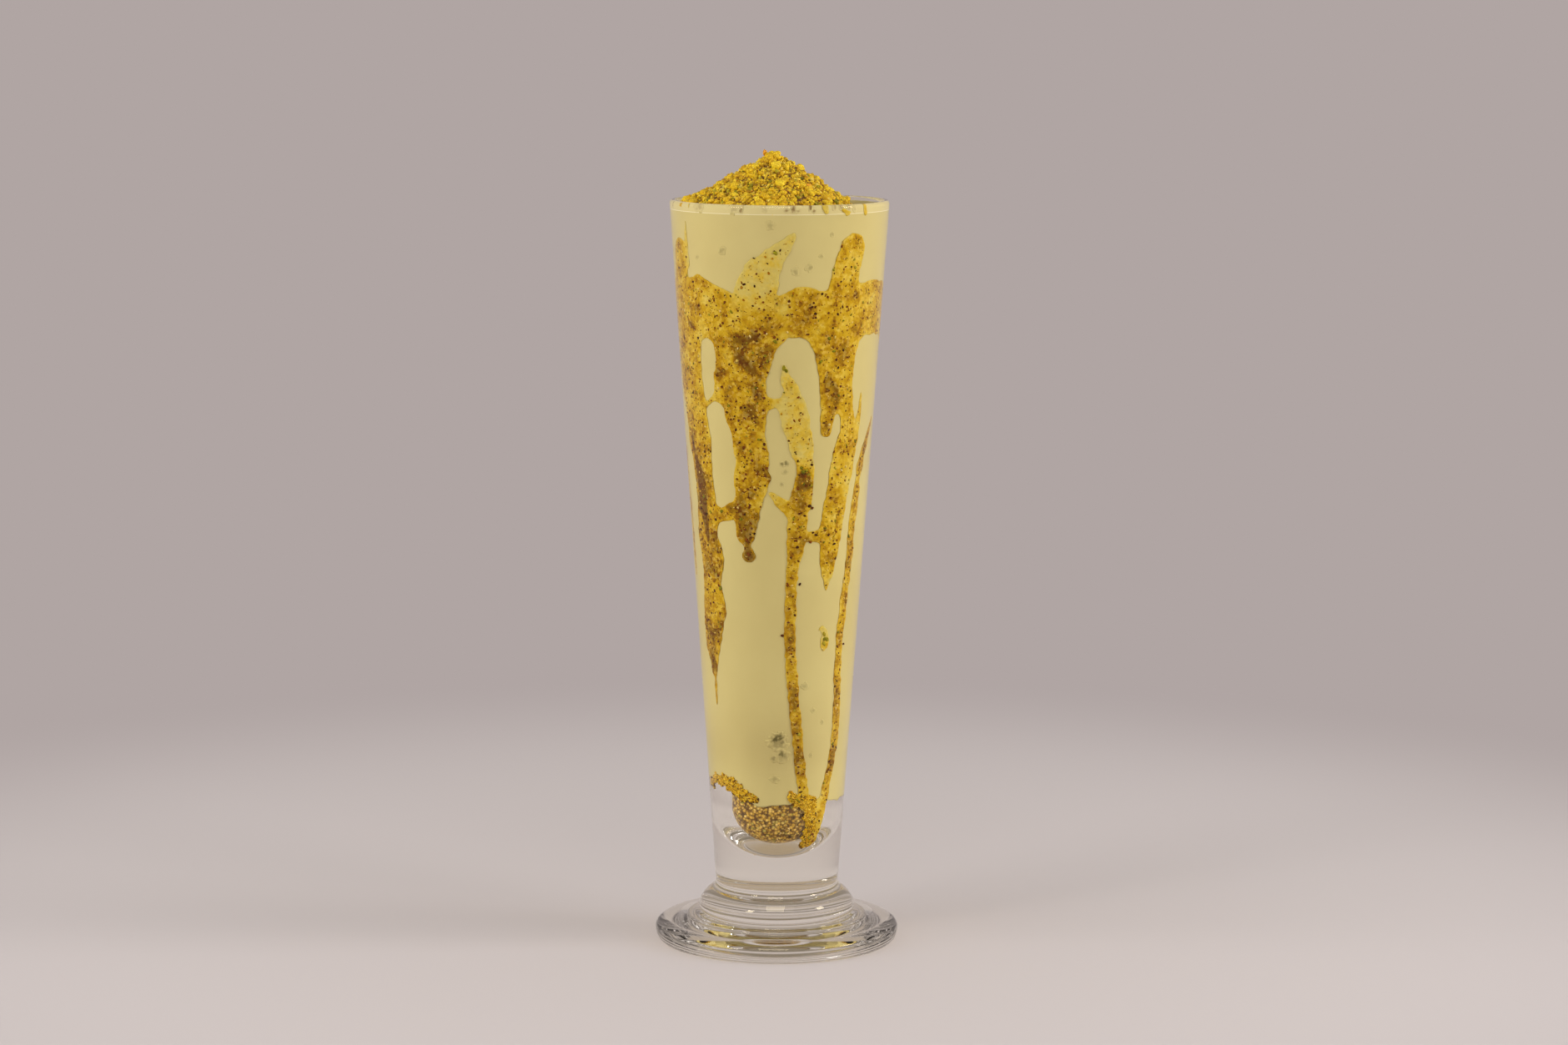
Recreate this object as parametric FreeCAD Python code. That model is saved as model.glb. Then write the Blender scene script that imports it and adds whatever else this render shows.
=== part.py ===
import FreeCAD, Part
import math
import os

# Tall footed glass of pistachio lassi, with ground pistachio below and on top.
# Millimetres. The origin is the centre of the foot's underside, +Z is up.

# --- Glass: body and lip ---------------------------------------------------
GLASS_HEIGHT = 233.0      # foot's underside to lip
RIM_R = 34.1              # outside radius of the straight cone at the lip
STEM_R = 19.5             # outside radius at the shoulder, where the cone starts
LIP_WALL = 2.2            # wall thickness just under the lip
BODY_WALL = 2.6           # wall thickness at the height where it starts to thicken
THROAT_WALL = 6.7         # wall thickness at the throat, above the rounded floor

# --- Glass: foot, collar and rings, stacked upwards ------------------------
FOOT_R = 38.3             # widest radius of the foot
FOOT_EDGE_Z = 3.6         # height of that widest radius
FOOT_THICKNESS = 6.3      # height of the foot's top near its edge
FOOT_EDGE_ROLL = 4.6      # how far the rounded edge reaches in over the top
FOOT_EDGE_TUCK = 1.8      # how far the edge curves in to the face it stands on
CONTACT_WIDTH = 5.5       # width of the flat ring that the glass stands on
RECESS_DEPTH = 0.9        # depth of the shallow hollow inside that ring
RING_OUT = 3.9            # how far the ring on the foot stands out of the collar
RING_RISE = 1.7           # height of the ring's top above the foot's edge
RING_STEP = 1.0           # height of the ring's own step
COLLAR_OUT = 5.0          # how far the bulged collar stands out of the stem
COLLAR_TUCK = 1.4         # how far the collar's underside curves back in
COLLAR_UNDER = 2.7        # height from the ring's top to the collar's widest
COLLAR_RISE = 5.7         # height from the collar's widest to the bead
BEAD_OUT = 0.85           # how far the bead stands out of the stem
BEAD_TO_GROOVE = 2.5      # height from the bead to the shallow groove
GROOVE_IN = 0.3           # depth of the groove below the shoulder
GROOVE_TO_SHOULDER = 2.4  # height from the groove to the shoulder

# --- Glass: cavity ---------------------------------------------------------
FLOOR_ABOVE_SHOULDER = 6.0   # solid glass between the shoulder and the cavity
FLOOR_RISE = 17.0            # height of the rounded floor, up to the throat
FLOOR_FULLNESS = 0.6         # a little fuller than the ellipse that 0.55 makes
TAPER_RISE = 36.0            # height over which the wall thins above the throat

# --- Contents --------------------------------------------------------------
LEVEL_BELOW_LIP = 3.0     # free height between the lassi and the lip
NUT_DEPTH = 18.5          # ground pistachio at the bottom, at its lowest place
NUT_BANK = 5.5            # extra height where it is banked up the wall
NUT_LUMP = 0.45           # unevenness of its top
HEAP_HEIGHT = 17.0        # ground pistachio heaped on the lassi
HEAP_SPREAD = 31.6        # radius at which the heap runs out
HEAP_SHIFT = FreeCAD.Vector(-2.2, -0.8, 0)   # the heap's peak, off the axis
HEAP_BLUNT = 0.055        # how blunt the peak is, as a share of the spread
HEAP_LUMP = 0.55          # unevenness of the heap's surface

# --- Working values --------------------------------------------------------
QUARTER = 0.5523          # handle length that makes a curve a near quarter circle
SURFACE_STEP = 3.0        # spacing of the points that an uneven surface is laid on
SURFACE_MARGIN = 4.0      # how far such a surface runs past what it cuts

foot_contact_r = FOOT_R - FOOT_EDGE_TUCK
foot_top_r = FOOT_R - FOOT_EDGE_ROLL
collar_r = STEM_R + COLLAR_OUT
ring_r = collar_r + RING_OUT
ring_z = FOOT_THICKNESS + RING_RISE
collar_z = ring_z + COLLAR_UNDER
bead_z = collar_z + COLLAR_RISE
groove_z = bead_z + BEAD_TO_GROOVE
shoulder_z = groove_z + GROOVE_TO_SHOULDER
floor_z = shoulder_z + FLOOR_ABOVE_SHOULDER
throat_z = floor_z + FLOOR_RISE
taper_z = throat_z + TAPER_RISE
level_z = GLASS_HEIGHT - LEVEL_BELOW_LIP
nut_z = floor_z + NUT_DEPTH


def body_radius(z):
    """Outside radius of the straight cone at a height."""
    share = (z - shoulder_z) / (GLASS_HEIGHT - shoulder_z)
    return STEM_R + (RIM_R - STEM_R) * share


lip_in_r = RIM_R - LIP_WALL
taper_r = body_radius(taper_z) - BODY_WALL
throat_r = body_radius(throat_z) - THROAT_WALL
wall_slope = (lip_in_r - taper_r) / (GLASS_HEIGHT - taper_z)


def cavity_radius(z):
    """Inside radius in the straight part of the cavity, above the taper."""
    return taper_r + wall_slope * (z - taper_z)


def at(r, z):
    """A point of the half section, on the XZ plane."""
    return FreeCAD.Vector(r, 0, z)


def line(start, end):
    return Part.makeLine(start, end)


def rounded(start, corner, end, reach=QUARTER):
    """A curve from start to end that leaves and arrives along the lines to corner."""
    curve = Part.BezierCurve()
    curve.setPoles([start, start + (corner - start) * reach, end + (corner - end) * reach, end])
    return curve.toShape()


def spun(edges):
    """The solid that a closed half section makes when it is turned about Z."""
    face = Part.Face(Part.Wire(edges))
    return face.revolve(FreeCAD.Vector(0, 0, 0), FreeCAD.Vector(0, 0, 1), 360)


def inner_wall(top):
    """The cavity's outline from its wall at the point top down to its floor on the axis."""
    taper = at(taper_r, taper_z)
    throat = at(throat_r, throat_z)
    bend_z = throat_z + TAPER_RISE * 0.5
    bend = at(taper_r - wall_slope * (taper_z - bend_z), bend_z)
    floor_corner = at(throat_r, floor_z)
    floor = at(0, floor_z)
    neck = Part.BezierCurve()
    neck.setPoles([taper, bend, at(throat_r, bend_z), throat])
    return [line(top, taper), neck.toShape(), rounded(throat, floor_corner, floor, FLOOR_FULLNESS)]


def foot_and_rings():
    """The outside outline from the underside's centre up to the shoulder."""
    recess = at(0, RECESS_DEPTH)
    recess_edge = at(foot_contact_r - CONTACT_WIDTH, 0)
    contact_edge = at(foot_contact_r, 0)
    widest = at(FOOT_R, FOOT_EDGE_Z)
    foot_top = at(foot_top_r, FOOT_THICKNESS)
    step_foot = at(ring_r, ring_z - RING_STEP)
    step_top = at(ring_r - RING_STEP, ring_z)
    tuck = at(collar_r - COLLAR_TUCK, ring_z)
    collar = at(collar_r, collar_z)
    bead = at(STEM_R + BEAD_OUT, bead_z)
    groove = at(STEM_R - GROOVE_IN, groove_z)
    shoulder = at(STEM_R, shoulder_z)
    return [
        rounded(recess, at(recess_edge.x * 0.6, RECESS_DEPTH), recess_edge),
        line(recess_edge, contact_edge),
        rounded(contact_edge, at(FOOT_R, 0), widest),
        rounded(widest, at(FOOT_R, FOOT_THICKNESS), foot_top),
        line(foot_top, step_foot),
        rounded(step_foot, at(ring_r, ring_z), step_top),
        line(step_top, tuck),
        rounded(tuck, at(collar_r, ring_z), collar),
        rounded(collar, at(collar_r, bead_z - COLLAR_RISE * 0.45), bead),
        rounded(bead, at(STEM_R - GROOVE_IN, bead_z + 0.8), groove),
        line(groove, shoulder),
    ]


def glass():
    """The glass in one piece: foot, collar, solid base, tapered body and rounded lip."""
    lip_z = GLASS_HEIGHT - LIP_WALL / 2
    lip_out = at(body_radius(lip_z), lip_z)
    lip_in = at(cavity_radius(lip_z), lip_z)
    lip_top = at((lip_out.x + lip_in.x) / 2, GLASS_HEIGHT)
    edges = foot_and_rings()
    edges.append(line(at(STEM_R, shoulder_z), lip_out))
    edges.append(rounded(lip_out, at(lip_out.x, GLASS_HEIGHT), lip_top))
    edges.append(rounded(lip_top, at(lip_in.x, GLASS_HEIGHT), lip_in))
    edges.extend(inner_wall(lip_in))
    edges.append(line(at(0, floor_z), at(0, RECESS_DEPTH)))
    return spun(edges)


def cavity(top_z):
    """The inside of the glass, from its floor up to the flat height top_z."""
    top = at(cavity_radius(top_z), top_z)
    edges = inner_wall(top)
    edges.append(line(at(0, floor_z), at(0, top_z)))
    edges.append(line(at(0, top_z), top))
    return spun(edges)


def under_surface(height, half_width, drop):
    """A block under the smooth surface z = height(x, y), drop deep."""
    count = 2 * math.ceil(half_width / SURFACE_STEP) + 1
    places = [half_width * (2 * i / (count - 1) - 1) for i in range(count)]
    rows = [[FreeCAD.Vector(x, y, height(x, y)) for y in places] for x in places]
    surface = Part.BSplineSurface()
    surface.interpolate(rows)
    return surface.toShape().extrude(FreeCAD.Vector(0, 0, -drop))


def lumps(x, y, size):
    """A repeatable unevenness of the given size: three crossing waves."""
    first = math.sin(x / 2.9 + 1.1) * math.cos(y / 3.3 - 0.4)
    second = math.sin((x + y) / 4.7 + 2.3)
    third = math.cos((x - 1.6 * y) / 5.9 + 0.7)
    return size * (first + 0.7 * second + 0.6 * third)


def nut_top(x, y):
    """Top of the ground pistachio at the bottom: flat, banked up the wall at -X."""
    lean = min(1.0, max(0.0, (-x / throat_r - 0.35) / 0.55))
    bank = NUT_BANK * lean * lean * (3 - 2 * lean)
    return nut_z + bank + lumps(x, y, NUT_LUMP)


def heap_top(x, y):
    """Top of the heap: a blunt cone, lumpy, that runs out below the lassi's level."""
    out = math.hypot(x - HEAP_SHIFT.x, y - HEAP_SHIFT.y) / HEAP_SPREAD
    blunt = math.hypot(out, HEAP_BLUNT)
    rise = HEAP_HEIGHT * (1 + HEAP_BLUNT - blunt)
    return level_z + rise + lumps(x, y, HEAP_LUMP)


def nut_base_and_lassi():
    """The cavity's filling, parted by the uneven top of the ground pistachio."""
    inside = cavity(level_z)
    reach = throat_r + SURFACE_MARGIN
    below = under_surface(nut_top, reach, NUT_DEPTH + NUT_BANK + SURFACE_MARGIN)
    return inside.common(below), inside.cut(below)


def nut_heap():
    """The ground pistachio on top, standing on the lassi and stopped by the wall."""
    reach = cavity_radius(level_z) + SURFACE_MARGIN
    body = under_surface(heap_top, reach, HEAP_HEIGHT + 2 * SURFACE_MARGIN)
    tall = HEAP_HEIGHT + SURFACE_MARGIN
    low_r = cavity_radius(level_z)
    high_r = cavity_radius(level_z + tall)
    room = Part.makeCone(low_r, high_r, tall, FreeCAD.Vector(0, 0, level_z))
    return body.common(room)


def save(name, shape):
    """Writes a node's STEP after checking that it is one sound solid."""
    solids = shape.Solids
    if len(solids) != 1 or not solids[0].isValid():
        raise ValueError(f"{name} isn't one sound solid")
    solids[0].exportStep(f"parts/{name}.step")
    box = solids[0].BoundBox
    print(f"{name}: {solids[0].Volume / 1000:.1f} ml, z {box.ZMin:.2f} to {box.ZMax:.2f}")


os.makedirs("parts", exist_ok=True)
nut_base, lassi = nut_base_and_lassi()
save("glass", glass())
save("lassi", lassi)
save("nut_base", nut_base)
save("nut_heap", nut_heap())
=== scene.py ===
import math

import bmesh
import bpy
import numpy as np
from bpy.props import FloatProperty, FloatVectorProperty, PointerProperty
from mathutils import Matrix, Vector, geometry, noise


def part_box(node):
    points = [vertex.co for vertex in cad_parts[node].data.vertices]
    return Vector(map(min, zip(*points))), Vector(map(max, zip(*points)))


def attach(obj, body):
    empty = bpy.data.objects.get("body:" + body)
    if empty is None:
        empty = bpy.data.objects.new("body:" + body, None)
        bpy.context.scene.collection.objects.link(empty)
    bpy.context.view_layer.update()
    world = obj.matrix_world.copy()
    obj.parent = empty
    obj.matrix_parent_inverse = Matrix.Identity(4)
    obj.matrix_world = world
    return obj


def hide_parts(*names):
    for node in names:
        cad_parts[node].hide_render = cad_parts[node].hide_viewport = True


# A tall footed glass of pistachio lassi: clear glass, lassi, pistachio sauce on the
# inside of the wall, ground pistachio at the bottom and a heap of it on top.

bl_info = {
    "name": "Pistachio lassi in a footed glass",
    "version": (1, 0, 0),
    "blender": (4, 5, 0),
    "location": "3D View > Sidebar > Lassi",
    "description": "Builds the looks of a glass of pistachio lassi round its packed frame",
    "category": "Object",
}

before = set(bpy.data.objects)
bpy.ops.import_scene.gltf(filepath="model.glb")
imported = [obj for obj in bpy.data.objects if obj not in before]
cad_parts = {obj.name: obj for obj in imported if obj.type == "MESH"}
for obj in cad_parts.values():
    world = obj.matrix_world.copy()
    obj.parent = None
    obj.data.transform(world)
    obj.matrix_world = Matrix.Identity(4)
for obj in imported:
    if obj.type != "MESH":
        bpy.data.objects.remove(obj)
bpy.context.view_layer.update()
GLASS_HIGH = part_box("glass")[1]
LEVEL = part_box("lassi")[1].z     # height of the lassi's surface

MM = 0.001
QUARTER = 0.5523          # handle length that makes a curve a near quarter circle
HAIR = 0.01 * MM          # heights that differ by less than this are the same
FROTH = 0.45 * MM         # height of the froth line above the lassi's level


# ---------------------------------------------------------------- sizes and colours
def length(name, description, value):
    """A size property, given in millimetres and kept in metres."""
    return FloatProperty(name=name, description=description, default=value * MM, unit="LENGTH")


def linear(code):
    """An sRGB hex colour as the linear values that shaders take."""
    parts = [int(code[i:i + 2], 16) / 255 for i in (1, 3, 5)]
    return tuple(c / 12.92 if c <= 0.04045 else ((c + 0.055) / 1.055) ** 2.4 for c in parts)


def colour(name, description, code):
    """A colour property, given as sRGB hex."""
    return FloatVectorProperty(
        name=name, description=description, subtype="COLOR", size=3, min=0, max=1, default=linear(code)
    )


class GlassSizes(bpy.types.PropertyGroup):
    rim_r: length("Lip radius", "Outside radius of the straight cone at the lip", 34.1)
    stem_r: length("Stem radius", "Outside radius at the shoulder above the rings", 19.5)
    lip_wall: length("Lip wall", "Wall thickness just under the lip", 2.2)
    body_wall: length("Body wall", "Wall thickness where it starts to thicken", 2.6)
    throat_wall: length("Throat wall", "Wall thickness above the rounded floor", 6.7)
    foot_edge_z: length("Foot edge height", "Height of the foot's widest radius", 3.6)
    foot_thickness: length("Foot thickness", "Height of the foot's top near its edge", 6.3)
    foot_edge_roll: length("Foot edge roll", "How far the rounded edge reaches in over the top", 4.6)
    foot_edge_tuck: length("Foot edge tuck", "How far the edge curves in underneath", 1.8)
    contact_width: length("Contact ring", "Width of the flat ring that the glass stands on", 5.5)
    recess_depth: length("Recess depth", "Depth of the shallow hollow under the foot", 0.9)
    ring_out: length("Ring reach", "How far the ring on the foot stands out of the collar", 3.9)
    ring_rise: length("Ring rise", "Height of the ring's top above the foot's edge", 1.7)
    ring_step: length("Ring step", "Height of the ring's own step", 1.0)
    collar_out: length("Collar reach", "How far the bulged collar stands out of the stem", 5.0)
    collar_tuck: length("Collar tuck", "How far the collar's underside curves back in", 1.4)
    collar_under: length("Collar underside", "Height from the ring to the collar's widest", 2.7)
    collar_rise: length("Collar rise", "Height from the collar's widest to the bead", 5.7)
    bead_out: length("Bead reach", "How far the bead stands out of the stem", 0.85)
    bead_to_groove: length("Bead to groove", "Height from the bead to the groove", 2.5)
    groove_in: length("Groove depth", "Depth of the groove below the shoulder", 0.3)
    groove_rise: length("Groove rise", "Height from the groove to the shoulder", 2.4)
    solid_base: length("Solid base", "Solid glass from the shoulder up to the cavity", 6.0)
    floor_rise: length("Floor rise", "Height of the cavity's rounded floor", 17.0)
    floor_reach: FloatProperty(
        name="Floor fullness", description="Fullness of the rounded floor: 0.55 is an ellipse", default=0.6)
    taper_rise: length("Taper rise", "Height over which the wall thins above the throat", 36.0)


class ContentSizes(bpy.types.PropertyGroup):
    nut_depth: length("Nut depth", "Ground pistachio at the bottom, at its lowest", 18.5)
    nut_bank: length("Nut bank", "Extra height where it is banked up the wall", 5.5)
    wet: length("Lassi into wall", "How far the lassi reaches into the glass, so that no air shows", 0.1)
    sauce_in: length("Sauce into wall", "How far the sauce reaches into the glass, over the lassi", 0.25)
    coat: length("Lassi on the wall", "Thickness of the coat that the lassi left above its level", 0.35)
    coat_rise: length("Coat rise", "How far that coat reaches above the lassi at the front", 2.5)
    heap_height: length("Heap height", "Ground pistachio heaped on the lassi", 17.0)
    heap_spread: length("Heap spread", "Radius at which the heap runs out", 31.6)
    heap_x: length("Heap across", "The heap's peak, off the axis towards +X", -2.2)
    heap_y: length("Heap back", "The heap's peak, off the axis towards +Y", -0.8)


class Colours(bpy.types.PropertyGroup):
    lassi: colour("Lassi", "Pale pistachio green yoghurt drink", "#C7B97D")
    coat: colour("Coat", "Lassi left on the wall above its level", "#D0C38C")
    froth: colour("Froth line", "Fine froth where the lassi's level meets the wall", "#E2DAB4")
    floor: colour("Floor", "Pale floor near the glass", "#CAC0BD")
    wall: colour("Backdrop", "Further floor and backdrop", "#B0A5A3")


# ---------------------------------------------------------------- mesh helpers
def curve_between(start, corner, end, count, leave=QUARTER, arrive=QUARTER):
    """Points after start on the rounding that leaves and arrives along the lines to corner."""
    first = start + (corner - start) * leave
    last = end + (corner - end) * arrive
    return geometry.interpolate_bezier(start, first, last, end, count + 1)[1:]


def steps_between(first, last, count):
    """Evenly spaced numbers after first, up to last."""
    return [first + (last - first) * (k / count) for k in range(1, count + 1)]


def add_outline(bm, points):
    """A chain of edges through the points. Returns its vertices and edges."""
    verts = [bm.verts.new(point) for point in points]
    edges = [bm.edges.new(pair) for pair in zip(verts, verts[1:])]
    return verts + edges


def spin_outline(bm, points, steps):
    """A closed surface of revolution about Z, from an outline on the XZ plane."""
    bmesh.ops.spin(
        bm, geom=add_outline(bm, points), cent=(0, 0, 0), axis=(0, 0, 1), dvec=(0, 0, 0),
        angle=math.tau, steps=steps, use_merge=True, use_duplicate=False,
    )
    bmesh.ops.remove_doubles(bm, verts=bm.verts, dist=0.002 * MM)
    bmesh.ops.recalc_face_normals(bm, faces=bm.faces)


def add_object(name, data):
    """A new object in the scene, at the origin."""
    made = bpy.data.objects.new(name, data)
    bpy.context.scene.collection.objects.link(made)
    return made


def mesh_of(bm, name):
    """Turns a bmesh into a mesh."""
    mesh = bpy.data.meshes.new(name)
    bm.to_mesh(mesh)
    bm.free()
    return mesh


def keep_piece(mesh, materials, replaces=()):
    """Makes a mesh a smooth piece of the object, riding on its one body."""
    mesh.shade_smooth()
    for material in materials:
        mesh.materials.append(material)
    piece = add_object(mesh.name, mesh)
    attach(piece, "root")
    if replaces:
        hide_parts(*replaces)


def uneven(points, size, shift=0.0):
    """Smooth noise of about -1 to 1 at places in mm, its waves about size mm across."""
    moved = Vector((shift, 0, 0))
    return np.array([noise.noise(Vector(point) / size + moved) for point in points])


def grain_lengths(rng, count, small, big, power):
    """Lengths of grains in mm; the higher the power, the more of them are small."""
    return small + (big - small) * rng.uniform(0, 1, count) ** power


def grain_sizes(rng, lengths, slimmest, thickness):
    """Length, width and thickness of grains in mm; a width is a random share of its length."""
    widths = lengths * rng.uniform(slimmest, 1, len(lengths))
    return np.stack([lengths, widths, np.broadcast_to(thickness, len(lengths))], axis=1)


def grain_mesh(name, places, normals, sizes, rng, dent, detail=1):
    """Many grains as one mesh: a dented ball copied to each place, lying on its normal.

    Sizes are length, width and thickness in mm. Each grain is turned and dented its own way,
    and its tint, a number from 0 to 1, tells the material which of its colours it has.
    """
    bm = bmesh.new()
    bmesh.ops.create_icosphere(bm, subdivisions=detail, radius=0.5)
    ball = np.array([vert.co for vert in bm.verts])
    faces = np.array([[vert.index for vert in face.verts] for face in bm.faces])
    bm.free()
    count = len(places)
    up = normals / np.linalg.norm(normals, axis=1, keepdims=True)
    side = np.cross(up, rng.normal(size=(count, 3)))
    side /= np.linalg.norm(side, axis=1, keepdims=True)
    axes = np.stack([side, np.cross(up, side), up], axis=1)
    dented = ball * (1 + dent * rng.uniform(-1, 1, (count, len(ball), 1))) * sizes[:, None, :] * MM
    verts = np.einsum("nvk,nkc->nvc", dented, axes) + places[:, None, :]
    joined = (faces + np.arange(count)[:, None, None] * len(ball)).reshape(-1, 3)
    mesh = bpy.data.meshes.new(name)
    mesh.from_pydata(verts.reshape(-1, 3).tolist(), [], joined.tolist())
    tint = np.repeat(rng.uniform(0, 1, count), len(ball)).astype(np.float32)
    mesh.attributes.new("tint", "FLOAT", "POINT").data.foreach_set("value", tint)
    return mesh


# ---------------------------------------------------------------- shape of the glass
class Profile:
    """Heights and radii of the glass, worked out from its sizes."""

    def __init__(self, sizes):
        self.sizes = sizes
        self.height = GLASS_HIGH.z
        self.foot_r = GLASS_HIGH.x
        self.collar_r = sizes.stem_r + sizes.collar_out
        self.ring_r = self.collar_r + sizes.ring_out
        self.ring_z = sizes.foot_thickness + sizes.ring_rise
        self.collar_z = self.ring_z + sizes.collar_under
        self.bead_z = self.collar_z + sizes.collar_rise
        self.groove_z = self.bead_z + sizes.bead_to_groove
        self.shoulder_z = self.groove_z + sizes.groove_rise
        self.floor_z = self.shoulder_z + sizes.solid_base
        self.throat_z = self.floor_z + sizes.floor_rise
        self.taper_z = self.throat_z + sizes.taper_rise
        self.throat_r = self.outside(self.throat_z) - sizes.throat_wall
        self.taper_r = self.outside(self.taper_z) - sizes.body_wall
        lip_in = sizes.rim_r - sizes.lip_wall
        self.slope = (lip_in - self.taper_r) / (self.height - self.taper_z)
        self.curve = self.lower_wall()
        self.curve_z = [point.z for point in self.curve[::-1]]
        self.curve_r = [point.x for point in self.curve[::-1]]

    def outside(self, z):
        """Outside radius at a height above the shoulder."""
        share = (z - self.shoulder_z) / (self.height - self.shoulder_z)
        return self.sizes.stem_r + (self.sizes.rim_r - self.sizes.stem_r) * share

    def lower_wall(self):
        """The cavity's outline below the straight wall, from the taper to the floor's centre."""
        taper = Vector((self.taper_r, 0, self.taper_z))
        throat = Vector((self.throat_r, 0, self.throat_z))
        bend_z = self.throat_z + self.sizes.taper_rise / 2
        bend = Vector((self.taper_r - self.slope * (self.taper_z - bend_z), 0, bend_z))
        low = Vector((self.throat_r, 0, bend_z))
        neck = geometry.interpolate_bezier(taper, bend, low, throat, 17)
        corner = Vector((self.throat_r, 0, self.floor_z))
        floor = Vector((0, 0, self.floor_z))
        reach = self.sizes.floor_reach
        return neck + curve_between(throat, corner, floor, 28, leave=reach, arrive=reach)

    def inside(self, z):
        """Inside radius at a height."""
        if z >= self.taper_z:
            return self.taper_r + self.slope * (z - self.taper_z)
        return float(np.interp(z, self.curve_z, self.curve_r))

    def inside_mm(self, heights):
        """Inside radii in mm at many heights in mm."""
        top = self.height / MM
        table_z = [z / MM for z in self.curve_z] + [top]
        table_r = [r / MM for r in self.curve_r] + [self.inside(self.height) / MM]
        return np.interp(heights, table_z, table_r)


def glass_outline(glass):
    """Half section of the glass, from the underside's centre round to the floor's centre."""
    sizes = glass.sizes

    def at(r, z):
        return Vector((r, 0, z))

    contact = glass.foot_r - sizes.foot_edge_tuck
    recess_r = contact - sizes.contact_width
    recess_flat = recess_r * 0.6
    widest = at(glass.foot_r, sizes.foot_edge_z)
    foot_top = at(glass.foot_r - sizes.foot_edge_roll, sizes.foot_thickness)
    step_foot = at(glass.ring_r, glass.ring_z - sizes.ring_step)
    step_top = at(glass.ring_r - sizes.ring_step, glass.ring_z)
    tuck = at(glass.collar_r - sizes.collar_tuck, glass.ring_z)
    collar = at(glass.collar_r, glass.collar_z)
    bulge_z = glass.bead_z - sizes.collar_rise * 0.45
    bead = at(sizes.stem_r + sizes.bead_out, glass.bead_z)
    bead_top_z = glass.bead_z + 0.8 * MM
    groove = at(sizes.stem_r - sizes.groove_in, glass.groove_z)
    lip_z = glass.height - sizes.lip_wall / 2
    lip_out = at(glass.outside(lip_z), lip_z)
    lip_in = at(glass.inside(lip_z), lip_z)
    lip_top = at((lip_out.x + lip_in.x) / 2, glass.height)
    points = [at(0, sizes.recess_depth)]
    points += curve_between(points[0], at(recess_flat, sizes.recess_depth), at(recess_r, 0), 24)
    points += [at(contact, 0)]
    points += curve_between(at(contact, 0), at(glass.foot_r, 0), widest, 20)
    points += curve_between(widest, at(glass.foot_r, sizes.foot_thickness), foot_top, 24)
    points += [step_foot]
    points += curve_between(step_foot, at(glass.ring_r, glass.ring_z), step_top, 12)
    points += [tuck]
    points += curve_between(tuck, at(glass.collar_r, glass.ring_z), collar, 18)
    points += curve_between(collar, at(glass.collar_r, bulge_z), bead, 28)
    points += curve_between(bead, at(groove.x, bead_top_z), groove, 14)
    points += [at(sizes.stem_r, glass.shoulder_z)]
    points += [at(glass.outside(z), z) for z in steps_between(glass.shoulder_z, lip_z, 12)[:-1]]
    points += [lip_out]
    points += curve_between(lip_out, at(lip_out.x, glass.height), lip_top, 6)
    points += curve_between(lip_top, at(lip_in.x, glass.height), lip_in, 6)
    points += [at(glass.inside(z), z) for z in steps_between(lip_z, glass.taper_z, 12)[:-1]]
    return points + glass.curve


def shapes(scene):
    """The glass's profile and the sizes of its contents."""
    return Profile(scene.lassi_glass), scene.lassi_contents


# ---------------------------------------------------------------- uneven surfaces
def lumps(x, y, size):
    """The contents' coarse unevenness, the same three crossing waves as in the frame."""
    x, y = x / MM, y / MM
    first = math.sin(x / 2.9 + 1.1) * math.cos(y / 3.3 - 0.4)
    second = math.sin((x + y) / 4.7 + 2.3)
    third = math.cos((x - 1.6 * y) / 5.9 + 0.7)
    return size * MM * (first + 0.7 * second + 0.6 * third)


def nut_top(glass, contents, x, y):
    """Top of the ground pistachio at the bottom: flat, banked up the wall at -X."""
    bank_from, bank_width = 0.35, 0.55      # in radii of the throat
    lean = min(1.0, max(0.0, (-x / glass.throat_r - bank_from) / bank_width))
    bank = contents.nut_bank * lean * lean * (3 - 2 * lean)
    return glass.floor_z + contents.nut_depth + bank + lumps(x, y, 0.45)


def heap_top(contents, x, y):
    """Top of the heap: a blunt cone, lumpy, that runs out below the lassi's level."""
    blunt = 0.055
    away = math.hypot(x - contents.heap_x, y - contents.heap_y)
    out = math.hypot(away / contents.heap_spread, blunt)
    return LEVEL + contents.heap_height * (1 + blunt - out) + lumps(x, y, 0.55)


def crumbs(place, size):
    """Height of packed round crumbs of about a size at a place, as a share of their size."""
    reach = 0.8               # a crumb's radius, as a share of the spacing
    near = noise.voronoi(Vector(place) / size)[0][0]
    return 0.5 * (1 - min(1.0, near / reach) ** 2)


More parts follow.
